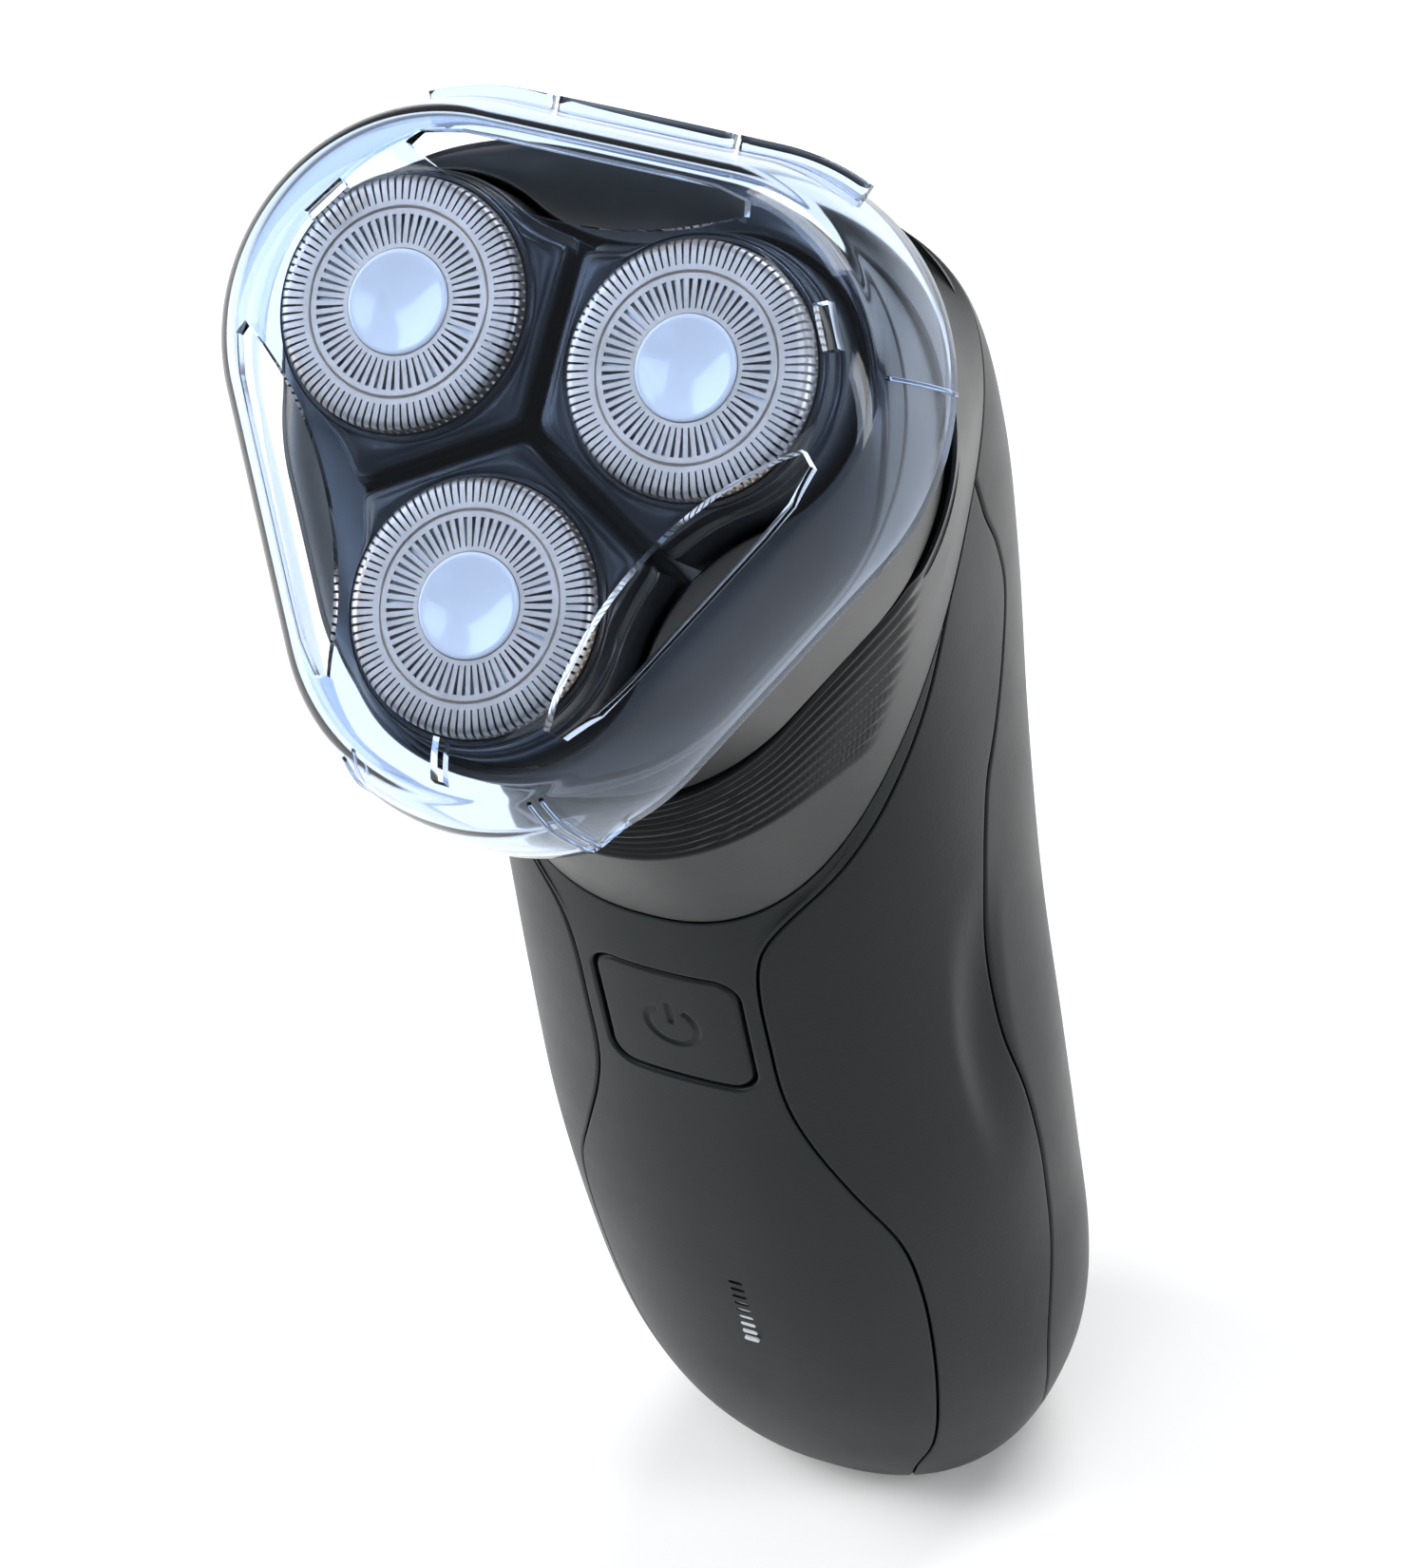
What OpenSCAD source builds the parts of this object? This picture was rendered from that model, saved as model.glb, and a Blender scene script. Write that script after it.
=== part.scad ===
// Three-head rotary shaver with a clear travel cap.
// Millimetres, +Z up along the handle, front faces -Y, right is +X.
// The origin is the mouth of the charging inlet, in the flat foot of the handle.

/* [Handle] */
// Height of the handle shells, foot to crown
handle_len = 150; // [125:1:180]
// Widest part of the handle
handle_w = 47.2; // [40:0.2:56]
// Reach of the front surface ahead of the origin
front_reach = 21.3; // [18:0.1:25]
// Reach of the back surface behind the origin, at the shoulder
back_reach = 30; // [26:0.5:36]
// Wall of the handle shells
shell_wall = 1.8; // [1.5:0.1:2.2]
// Gap shown at the seams between shells
seam_gap = 0.2; // [0.1:0.05:0.3]
// Depth of the finger scoop in each side grip
scoop_depth = 1.1; // [0:0.1:1.4]

/* [Head] */
// Forward tilt of the head face
head_tilt = 35; // [30:1:40]
// Height of the head face above the top of the handle
face_rise = 8; // [4:1:12]
// Distance of the head face ahead of the origin
face_ahead = 22; // [20:0.5:24]
// Radius of a shaving foil
foil_r = 10.6; // [9.8:0.1:11]
// Height of a foil's dish
foil_h = 3; // [2.6:0.1:3.4]
// Sheet thickness of a foil
foil_t = 0.3; // [0.2:0.05:0.4]
// Width of the gap between pods
pod_gap = 1.2; // [1:0.1:1.8]
// Wall around a foil in its pod
pod_lip = 0.75; // [0.6:0.05:1]
// Distance from a foil's edge to the gap beside its pod
foil_bridge = 2.43; // [2.2:0.01:3]
// Width of the head beyond the foils at its corners
head_margin = 2.85; // [2.5:0.05:5]
// How much nearer the head's flat sides are than its corners
head_flat = 3.3; // [2:0.1:3.6]
// Wall of the hair chamber
chamber_wall = 1.5; // [1.2:0.1:2]

/* [Drive] */
// Teeth on the motor pinion
pinion_teeth = 17; // [15:1:18]
// Teeth on each drive gear
gear_teeth = 26; // [24:1:27]
// Face width of the gears
gear_h = 3.2; // [2.5:0.1:4]
// Running clearance on gear pins
pin_play = 0.03; // [0.02:0.01:0.08]
// Radius of a gear pin
pin_r = 1; // [0.8:0.1:1.2]
// Radius of a drive spindle
spindle_r = 2; // [1.8:0.1:2.2]
// Motor can radius
motor_r = 10; // [8:0.5:10.5]
// Motor can length
motor_len = 24; // [18:1:26]

/* [Controls and power] */
// Width of the power button as a share of the handle's width
button_share = 0.2924; // [0.26:0.001:0.31]
// Height of the power button
button_h = 14.2; // [11:0.2:16]
// Gap around the power button
button_gap = 0.35; // [0.25:0.05:0.5]
// Travel of the power button
button_travel = 0.8; // [0.5:0.1:1]
// Height of the middle of the charge indicator
led_z = 38; // [30:1:44]
// Number of indicator bars
led_bars = 9; // [5:1:11]
// Radius of the charging plug
plug_r = 1.75; // [1.5:0.05:2.5]
// Depth that the charging plug goes in
plug_len = 12; // [8:0.5:14]
// Battery cell radius
cell_r = 7.1; // [6:0.1:9]
// Battery cell length
cell_len = 49; // [44:1:60]

/* [Cap] */
// Wall of the clear cap
cap_wall = 1.2; // [1:0.1:1.6]
// Room between foils and cap face
cap_room = 1.2; // [1:0.1:3]
// Depth of the cap's skirt below the foils
cap_depth = 12; // [11:0.5:15]
// Extra depth of the cap's chin tab
chin_tab = 4; // [2:0.5:5]
// Flare of the cap's corners from face to skirt edge
cap_flare = 4.4; // [2.5:0.1:5]

/* [Hidden] */
$fn = 48;

// ---- shared places -------------------------------------------------------------
face_y = -face_ahead;
face_z = handle_len + face_rise;
gear_pitch = (foil_r + foil_bridge) * 2 / sqrt(3);
gear_m = 2 * gear_pitch / (pinion_teeth + gear_teeth);
head_corner = gear_pitch + foil_r + head_margin;
head_side = head_corner - head_flat;
POD_ANGLE = [150, 30, -90];
touch = 0.02;            // sliding face clearance between fixed pieces
small = 0.3;             // clearance between pieces that move past each other

// Depths along the head axis, measured down from the outer face of the foils
pod_top = 1.6;
pod_step = 4.2;
pod_floor = 11;
deck_top = 8.2;
chamber_top = 13;
holder_top = 14;
holder_t = 1.4;
chamber_floor = 26.8;
neck_top = chamber_floor + small;
neck_plate = 1.5;
gear_top = neck_top + neck_plate + 0.7;
gear_lift = 1;           // room under the gears
plate_top = gear_top + gear_h + gear_lift;
plate_t = 2.4;
motor_top = plate_top + plate_t;

// Pod outline: foil circle blended into the middle of the head by hollow arcs
pod_r = foil_r + pod_lip;
pod_waist = gear_pitch + 0.25;

module on_head(depth = 0) {
    translate([0, face_y, face_z]) rotate([head_tilt, 0, 0]) translate([0, 0, -depth]) children();
}

module at_pod(i) {
    rotate(POD_ANGLE[i]) translate([gear_pitch, 0, 0]) children();
}

function head_point(x, y, depth) =
    [x, face_y + y * cos(head_tilt) + depth * sin(head_tilt),
     face_z + y * sin(head_tilt) - depth * cos(head_tilt)];

// ---- smooth curves through a few knots -------------------------------------------
function knot(t, z, i = 0) = (i >= len(t) - 2 || z < t[i + 1][0]) ? i : knot(t, z, i + 1);

function knot_slope(t, i, c) =
    let (a = max(i - 1, 0), b = min(i + 1, len(t) - 1))
    (t[b][c] - t[a][c]) / (t[b][0] - t[a][0]);

function along(t, z, c) =
    let (zz = min(max(z, t[0][0]), t[len(t) - 1][0]), i = knot(t, zz), h = t[i + 1][0] - t[i][0],
         u = (zz - t[i][0]) / h)
    (2 * u ^ 3 - 3 * u ^ 2 + 1) * t[i][c] + (u ^ 3 - 2 * u ^ 2 + u) * h * knot_slope(t, i, c)
    + (3 * u ^ 2 - 2 * u ^ 3) * t[i + 1][c] + (u ^ 3 - u ^ 2) * h * knot_slope(t, i + 1, c);

// ---- handle surface ----------------------------------------------------------------
// Share of height, then shares of the front reach, back reach and half width
PROFILE = [[0, 0.38, 0.32, 0.45], [0.017, 0.56, 0.45, 0.63], [0.047, 0.685, 0.53, 0.77],
           [0.093, 0.8, 0.575, 0.88], [0.16, 0.9, 0.595, 0.955], [0.25, 0.97, 0.61, 0.985],
           [0.36, 1, 0.635, 1], [0.48, 0.995, 0.71, 0.98], [0.6, 0.985, 0.85, 0.96],
           [0.71, 0.94, 0.975, 0.96], [0.81, 0.85, 1, 0.975], [0.91, 0.66, 0.885, 0.985],
           [1, 0.42, 0.58, 0.975]];
// Share of height, then the angles from the front at which the seams run
SEAMS = [[0, 26, 84], [0.055, 29, 80], [0.1, 36, 79], [0.16, 40, 80], [0.24, 43, 87],
         [0.3, 42.5, 88.5], [0.34, 39.5, 88.5], [0.39, 31, 87], [0.44, 23.5, 84], [0.48, 20, 83],
         [0.53, 19.5, 83], [0.585, 20, 85], [0.615, 23, 87], [0.64, 31, 89], [0.67, 46, 93],
         [0.7, 58, 97], [0.74, 70, 101], [0.78, 78, 99], [0.82, 84, 95], [0.9, 87, 91.5],
         [1, 87, 91.5]];
section_power = 2 / 2.35;
collar_slope = 1.13;                            // slant of the collar where the neck enters
collar_z = handle_len * 0.63;                   // collar height at the very front
front_n = 16;                                   // columns of facets across each shell
grip_n = 10;
back_n = 20;

function signed_pow(v, p) = sign(v) * abs(v) ^ p;

function half_width(z) = handle_w / 2 * along(PROFILE, z / handle_len, 3);
function front_y(z) = -front_reach * along(PROFILE, z / handle_len, 1);
function back_y(z) = back_reach * along(PROFILE, z / handle_len, 2);
function seam(z, which) = along(SEAMS, z / handle_len, which);

// Finger scoop: a crescent just ahead of the rear seam
scoop_z = 0.46 * handle_len;
scoop_half = 0.135 * handle_len;
function bump(v) = abs(v) >= 1 ? 0 : (1 - v * v) ^ 2;
function scoop(z, a) =
    let (u = (z - scoop_z) / scoop_half, mid = 76 + 6 * u * u)
    scoop_depth * bump(u) * bump((abs(a) - mid) / 11);

// Point on the handle at angle a from the front, inset along the wall
function skin(z, a, inset) =
    let (w = half_width(z) - inset, f = front_y(z) + inset, b = back_y(z) - inset,
         d = inset > 0 ? 0 : scoop(z, a))
    [(w - d) * signed_pow(sin(a), section_power),
     (f + b) / 2 - (b - f) / 2 * signed_pow(cos(a), section_power), z];

function collar_at(y) = collar_z + (y + front_reach) * collar_slope;

// Height of the collar on the column t between two seam angles
function column_angle(z, t, from, to) =
    let (a = from == 0 ? -seam(z, 1) : seam(z, from), b = to == 3 ? 360 - seam(z, 2) : seam(z, to))
    a + (b - a) * t;
function column_top(t, from, to, low = 0, high = 1.3 * handle_len, n = 24) =
    let (z = (low + high) / 2, below = z < collar_at(skin(z, column_angle(z, t, from, to), 0)[1]))
    n == 0 ? z : column_top(t, from, to, below ? z : low, below ? high : z, n - 1);

// Trim a seam edge back by half the seam gap
function edge_trim(z, gap) = gap / (half_width(z) * PI / 180);

function shell_grid(nt, nz, from, to, inset) =
    [for (j = [0:nz]) [for (i = [0:nt])
        let (t = i / nt, top = column_top(t, from, to) - seam_gap / 2,
             z = top * j / nz, a0 = column_angle(z, 0, from, to), a1 = column_angle(z, 1, from, to),
             g = edge_trim(z, seam_gap / 2))
        skin(z, a0 + g + (a1 - a0 - 2 * g) * t, inset)]];

// Closed wall between an outer and an inner grid of the same size
module wall_between(outer, inner) {
    nj = len(outer);
    ni = len(outer[0]);
    points = [for (row = outer, p = row) p, for (row = inner, p = row) p];
    half = nj * ni;
    rim = concat([for (i = [0:ni - 1]) i], [for (j = [1:nj - 1]) j * ni + ni - 1],
                 [for (i = [ni - 2:-1:0]) (nj - 1) * ni + i], [for (j = [nj - 2:-1:1]) j * ni]);
    faces = concat(
        [for (j = [0:nj - 2], i = [0:ni - 2]) let (a = j * ni + i) [a, a + ni, a + 1]],
        [for (j = [0:nj - 2], i = [0:ni - 2]) let (a = j * ni + i) [a + 1, a + ni, a + ni + 1]],
        [for (j = [0:nj - 2], i = [0:ni - 2]) let (a = half + j * ni + i) [a, a + 1, a + ni]],
        [for (j = [0:nj - 2], i = [0:ni - 2]) let (a = half + j * ni + i) [a + 1, a + ni + 1, a + ni]],
        [for (k = [0:len(rim) - 1]) let (a = rim[k], b = rim[(k + 1) % len(rim)]) [a, b, half + a]],
        [for (k = [0:len(rim) - 1]) let (a = rim[k], b = rim[(k + 1) % len(rim)])
            [b, half + b, half + a]]);
    polyhedron(points, faces);
}

// Closed tube wall between outer and inner stacks of rings
module ring_wall(outer, inner) {
    nj = len(outer);
    n = len(outer[0]);
    points = [for (row = outer, p = row) p, for (row = inner, p = row) p];
    half = nj * n;
    faces = concat(
        [for (j = [0:nj - 2], i = [0:n - 1]) let (b = j * n + i, a = j * n + (i + 1) % n) [a, b, a + n]],
        [for (j = [0:nj - 2], i = [0:n - 1]) let (b = j * n + i, a = j * n + (i + 1) % n)
            [b, b + n, a + n]],
        [for (j = [0:nj - 2], i = [0:n - 1]) let (b = half + j * n + i, a = half + j * n + (i + 1) % n)
            [a, a + n, b]],
        [for (j = [0:nj - 2], i = [0:n - 1]) let (b = half + j * n + i, a = half + j * n + (i + 1) % n)
            [b, a + n, b + n]],
        [for (e = [0, nj - 1], i = [0:n - 1]) let (b = e * n + i, a = e * n + (i + 1) % n)
            e == 0 ? [a, half + a, b] : [a, b, half + a]],
        [for (e = [0, nj - 1], i = [0:n - 1]) let (b = e * n + i, a = e * n + (i + 1) % n)
            e == 0 ? [b, half + a, half + b] : [b, half + b, half + a]]);
    polyhedron(points, faces);
}

// Cup: stacks of rings joined at the first ring and closed by a flat face at the last
module ring_cup(outer, inner) {
    nj = len(outer);
    n = len(outer[0]);
    half = nj * n;
    centre = function(ring) [for (c = [0:2]) [for (p = ring) p[c]] * [for (i = [1:n]) 1] / n];
    points = [for (row = outer, p = row) p, for (row = inner, p = row) p,
              centre(outer[nj - 1]), centre(inner[nj - 1])];
    top = (nj - 1) * n;
    faces = concat(
        [for (j = [0:nj - 2], i = [0:n - 1]) let (b = j * n + i, a = j * n + (i + 1) % n) [a, b, a + n]],
        [for (j = [0:nj - 2], i = [0:n - 1]) let (b = j * n + i, a = j * n + (i + 1) % n)
            [b, b + n, a + n]],
        [for (j = [0:nj - 2], i = [0:n - 1]) let (b = half + j * n + i, a = half + j * n + (i + 1) % n)
            [a, a + n, b]],
        [for (j = [0:nj - 2], i = [0:n - 1]) let (b = half + j * n + i, a = half + j * n + (i + 1) % n)
            [b, a + n, b + n]],
        [for (i = [0:n - 1]) [(i + 1) % n, half + i, i]],
        [for (i = [0:n - 1]) [(i + 1) % n, half + (i + 1) % n, half + i]],
        [for (i = [0:n - 1]) [top + (i + 1) % n, top + i, 2 * half]],
        [for (i = [0:n - 1]) [half + top + i, half + top + (i + 1) % n, 2 * half + 1]]);
    polyhedron(points, faces);
}

// ---- outlines -------------------------------------------------------------------------
// Triangle with big round corners: reach of corners and of flat sides
function round_triangle_reach(corner, side, a) =
    let (q = 2 * (corner - side), r = corner - q, e = abs(a - round((a - 30) / 120) * 120 - 30))
    side * tan(60 - e) < q * sin(60) ? side / cos(60 - e) : q * cos(e) + sqrt(r ^ 2 - (q * sin(e)) ^ 2);

function round_triangle_ring(corner, side, depth, angles) =
    [for (a = angles) let (reach = round_triangle_reach(corner, side, a))
        head_point(reach * cos(a), reach * sin(a), depth)];

outline_n = 96;
OUTLINE = [for (i = [0:outline_n - 1]) 360 * i / outline_n];

module round_triangle(corner, side) {
    polygon([for (a = OUTLINE) round_triangle_reach(corner, side, a) * [cos(a), sin(a)]]);
}

// Three circles around the foils blended by hollow arcs with the given waist
function clover_reach(r, waist, a) =
    let (m = r - waist, d = (gear_pitch ^ 2 - m ^ 2) / (gear_pitch + 2 * m), blend = d - waist,
         e = abs(a - round((a - 30) / 120) * 120 - 30),
         turn = atan2(d * sin(60), d * cos(60) - gear_pitch),
         meet = atan2(r * sin(turn), gear_pitch + r * cos(turn)))
    e < meet ? gear_pitch * cos(e) + sqrt(r ^ 2 - (gear_pitch * sin(e)) ^ 2)
             : d * cos(60 - e) - sqrt(blend ^ 2 - (d * sin(60 - e)) ^ 2);

module clover(r, waist) {
    polygon([for (a = OUTLINE) clover_reach(r, waist, a) * [cos(a), sin(a)]]);
}

// One pod's third of the clover, pointing along +X
module petal(r, waist, gap) {
    far = head_corner * 2;
    intersection() {
        rotate(-POD_ANGLE[1]) clover(r, waist);
        rotate(-60) translate([-far, gap / 2]) square([2 * far, far]);
        rotate(60) translate([-far, -gap / 2 - far]) square([2 * far, far]);
    }
}

module rounded_square(w, h, r) {
    for (x = [-1, 1], y = [-1, 1]) translate([x * (w / 2 - r), y * (h / 2 - r)]) circle(r);
    square([w, h - 2 * r], center = true);
    square([w - 2 * r, h], center = true);
}

// ---- handle shells -----------------------------------------------------------------------
button_w = handle_w * button_share;
button_z = collar_z - 14.2;
button_corner = 2.2;
button_t = 2;
led_pitch = 1.15;
led_w = 1.5;
led_bar_h = 0.5;

module front_cut(w, h, z, r) {
    translate([0, -front_reach / 2, z]) rotate([90, 0, 0])
        linear_extrude(front_reach) rounded_square(w, h, r);
}

module front_panel() {
    color("#2b2d30") difference() {
        wall_between(shell_grid(front_n, 30, 0, 1, 0), shell_grid(front_n, 30, 0, 1, shell_wall));
        front_cut(button_w + 2 * button_gap, button_h + 2 * button_gap, button_z,
                  button_corner + button_gap);
        for (k = [0:led_bars - 1])
            front_cut(led_w + 2 * touch, led_bar_h + 2 * touch,
                      led_z + (k - (led_bars - 1) / 2) * led_pitch,
                      (led_bar_h + 2 * touch) / 2 - 0.01);
    }
}

module grip_right() {
    color("#26282b") wall_between(shell_grid(grip_n, 34, 1, 2, 0), shell_grid(grip_n, 34, 1, 2, shell_wall));
}

module grip_left() {
    color("#26282b") mirror([1, 0, 0])
        wall_between(shell_grid(grip_n, 34, 1, 2, 0), shell_grid(grip_n, 34, 1, 2, shell_wall));
}

module back_shell() {
    color("#303337") wall_between(shell_grid(back_n, 26, 2, 3, 0), shell_grid(back_n, 26, 2, 3, shell_wall));
}

// Plate that closes the foot around the charging inlet
foot_t = 2.2;
socket_r = 4;

module foot_plate() {
    ring = [for (i = [0:35]) let (p = skin(0, i * 10, shell_wall + touch)) [p[0], p[1]]];
    color("#1d1e20") difference() {
        linear_extrude(foot_t) polygon(ring);
        translate([0, 0, -1]) cylinder(r = plug_r + 1, h = foot_t + 2);
    }
}

// ---- neck ---------------------------------------------------------------------------------
neck_corner = head_corner - 0.4;
neck_side = head_side - 0.6;
neck_wall = 1.6;
neck_sag = 5;                                   // hollow of the neck between collar and head
neck_ease = 1.5;

// Angle and height of the collar at each column of the shells below
function collar_column(t, from, to) =
    let (z = column_top(t, from, to)) [column_angle(z, t, from, to), z];
COLLAR = concat([for (i = [0:front_n - 1]) collar_column(i / front_n, 0, 1)],
                [for (i = [0:grip_n - 1]) collar_column(i / grip_n, 1, 2)],
                [for (i = [0:back_n - 1]) collar_column(i / back_n, 2, 3)],
                [for (i = [0:grip_n - 1]) let (c = collar_column(1 - i / grip_n, 1, 2))
                    [360 - c[0], c[1]]]);

function neck_ring(u, inset) =
    let (top = round_triangle_ring(neck_corner - inset, neck_side - inset, neck_top,
                                   [for (c = COLLAR) c[0] - 90]))
    [for (i = [0:len(COLLAR) - 1])
        let (c = COLLAR[i], low = skin(c[1], c[0], inset > 0 ? shell_wall : 0) + [0, 0, seam_gap / 2])
        low + (top[i] - low) * (1 - (1 - u) ^ neck_ease) - [0, 0, neck_sag * u * (1 - u) ^ neck_ease]];

post_r = 2.4;
post_reach = gear_pitch + 2.95;
screw_r = 1;
screw_in = 3.6;                                 // screw thread in a post
spindle_hole = spindle_r + 1.4;

module neck_housing() {
    steps = 6;
    color("#1b1c1e") ring_wall([for (k = [0:steps]) neck_ring(k / steps, 0)],
                               [for (k = [0:steps]) neck_ring(k / steps, neck_wall)]);
}

// Plate in the mouth of the neck, with the posts that carry the gearbox
cover_gap = 0.25 + (2 * head_corner - handle_w) * 0.036;

module gear_cover() {
    color("#2a2c2f") {
        on_head(neck_top + neck_plate) difference() {
            linear_extrude(neck_plate)
                round_triangle(neck_corner - neck_wall - cover_gap, neck_side - neck_wall - cover_gap);
            for (i = [0:2]) at_pod(i) translate([0, 0, -1]) cylinder(r = spindle_hole, h = neck_plate + 2);
        }
        on_head(plate_top) for (a = POD_ANGLE) rotate(a + 60) translate([post_reach, 0, 0])
            difference() {
                cylinder(r = post_r, h = plate_top - neck_top - neck_plate / 2);
                translate([0, 0, -1]) cylinder(r = screw_r, h = screw_in + 1.4);
            }
    }
}

// ---- gearbox ---------------------------------------------------------------------------------
pilot_r = 3;
shaft_r = 0.75;
plate_reach = 6.45;                             // plate's corners beyond the gear pins
plate_rim = 1.6;                                // plate's sides beyond the posts
tip_short = 0.4;                                // pins and shaft stop short of the gear faces

module gear_plate() {
    color("#8d9094") on_head(motor_top) difference() {
        linear_extrude(plate_t) difference() {
            round_triangle(gear_pitch + plate_reach, post_reach + plate_rim);
            for (a = POD_ANGLE) rotate(a) translate([gear_pitch, 0]) circle(pin_r);
            for (a = POD_ANGLE) rotate(a + 60) translate([post_reach, 0]) circle(screw_r + touch);
            circle(pilot_r);
        }
    }
}

module gear_pins() {
    color("silver") on_head(motor_top) for (i = [0:2]) at_pod(i)
        cylinder(r = pin_r, h = plate_t + gear_lift + gear_h - tip_short);
}

module gear_screws() {
    head_h = 1.3;
    color("silver") on_head(motor_top) for (a = POD_ANGLE) rotate(a + 60) translate([post_reach, 0, 0])
        difference() {
            union() {
                translate([0, 0, -head_h]) cylinder(r = 1.9, h = head_h);
                cylinder(r = screw_r - touch, h = plate_t + screw_in);
            }
            translate([0, 0, -head_h - 0.1]) linear_extrude(0.8) {
                square([2.4, 0.5], center = true);
                square([0.5, 2.4], center = true);
            }
        }
}

// Spur gear outline with straight-flanked teeth thinned for backlash
module gear_outline(teeth, offset_turn) {
    r = gear_m * teeth / 2;
    tip = r + gear_m * 0.9;
    root = r - gear_m * 1.2;
    w = 360 / teeth;
    polygon([for (k = [0:teeth - 1], c = [[-0.33, root], [-0.215, r], [-0.1, tip], [0.1, tip],
                                          [0.215, r], [0.33, root]])
        let (a = (k + c[0]) * w + offset_turn) [c[1] * cos(a), c[1] * sin(a)]]);
}

shaft_tail = 1.5;                               // shaft's end behind the motor

module motor_shaft() {
    color("silver") on_head(motor_top + motor_len + shaft_tail)
        cylinder(r = shaft_r, h = motor_len + shaft_tail + plate_t + gear_lift + gear_h - tip_short);
}

// Each pinion tooth gap faces a gear tooth along the line of centres
module motor_pinion() {
    color("#d8d4c4") on_head(gear_top + gear_h) linear_extrude(gear_h) difference() {
        gear_outline(pinion_teeth, POD_ANGLE[1]);
        circle(shaft_r);
    }
}

spindle_tip = 7.6;                              // depth of the spindle's end
hex_from = 12;                                  // depth where its hexagon starts
spring_stop = 22.6;                             // depth of the collar under the spring
collar_r = 3.1;
collar_t = 0.6;
tip_r = 1.7;
spring_wire = 0.25;
spring_r = spindle_r + 0.75;

module drive_gear(i) {
    phase = POD_ANGLE[i] - POD_ANGLE[1];
    turn = 180 + (180 + phase * pinion_teeth) / gear_teeth;
    color("#e9e6dc") on_head(gear_top + gear_h) at_pod(i) {
        linear_extrude(gear_h) difference() {
            gear_outline(gear_teeth, turn);
            circle(pin_r + pin_play);
        }
        translate([0, 0, gear_h]) cylinder(r = spindle_r, h = gear_top - hex_from);
        translate([0, 0, gear_h + gear_top - hex_from])
            cylinder(r = tip_r, h = hex_from - spindle_tip, $fn = 6);
        translate([0, 0, gear_h]) cylinder(r = collar_r, h = collar_t);
        translate([0, 0, gear_h + gear_top - spring_stop]) cylinder(r = collar_r, h = collar_t);
    }
}

// Coil spring between the gear and the spindle's collar
spring_turns = 5;
spring_low = gear_top - collar_t - 2 * spring_wire;
spring_high = spring_stop + 2 * spring_wire;

module spindle_spring(i) {
    per_turn = 14;
    n = spring_turns * per_turn;
    m = 6;
    path = [for (k = [0:n]) let (a = 360 * k / per_turn)
        [spring_r * cos(a), spring_r * sin(a), (spring_low - spring_high) * k / n]];
    ring = [for (k = [0:n], j = [0:m - 1]) let (a = 360 * k / per_turn, b = 360 * j / m)
        [(spring_r + spring_wire * cos(b)) * cos(a), (spring_r + spring_wire * cos(b)) * sin(a),
         path[k][2] + spring_wire * sin(b)]];
    color("#c9ccd0") on_head(spring_low) at_pod(i) polyhedron(ring, concat(
        [for (k = [0:n - 1], j = [0:m - 1]) [k * m + j, k * m + (j + 1) % m, (k + 1) * m + j]],
        [for (k = [0:n - 1], j = [0:m - 1])
            [k * m + (j + 1) % m, (k + 1) * m + (j + 1) % m, (k + 1) * m + j]],
        [[for (j = [m - 1:-1:0]) j]], [[for (j = [0:m - 1]) n * m + j]]));
}

// ---- motor, cell and electronics ------------------------------------------------------------
module motor_can() {
    flat = motor_r * 0.8;
    color("#b9bcc0") on_head(motor_top + motor_len) {
        intersection() {
            difference() {
                cylinder(r = motor_r, h = motor_len);
                translate([0, 0, -1]) cylinder(r = shaft_r + pin_play, h = motor_len + 2);
            }
            translate([-flat, -motor_r, -1]) cube([2 * flat, 2 * motor_r, motor_len + 2]);
        }
        translate([0, 0, motor_len]) difference() {
            cylinder(r = pilot_r - touch, h = plate_t - 0.4);
            translate([0, 0, -1]) cylinder(r = shaft_r + pin_play, h = plate_t + 2);
        }
        for (x = [-1, 1]) translate([x * 5, 0, -2.5]) translate([-0.2, -1, 0]) cube([0.4, 2, 2.5]);
    }
}

board_y = -12.6;
board_t = 1.2;
frame_w = handle_w - 21.2;                      // widest frame that clears the grips
board_w = frame_w - 2;
board_low = led_z - 9;
board_high = button_z + 11;
frame_y = -9.8;
frame_t = 1.6;
cell_y = 1;
cell_z = plug_len + 3;
contact_t = 0.4;
boss_in = 3;                                    // board screws from the board's edges
boss_x = board_w / 2 - boss_in;
boss_r = 1.8;
board_screw_r = 0.7;
hoop_h = 6;                                     // cradle hoops around the cell
hoop_wall = 1.3;
hoop_in = 5;                                    // hoops from the cell's ends
stop_t = 1.1;                                   // stops at the cell's ends
screw_long = 4.4;                               // board screws under their heads

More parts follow.
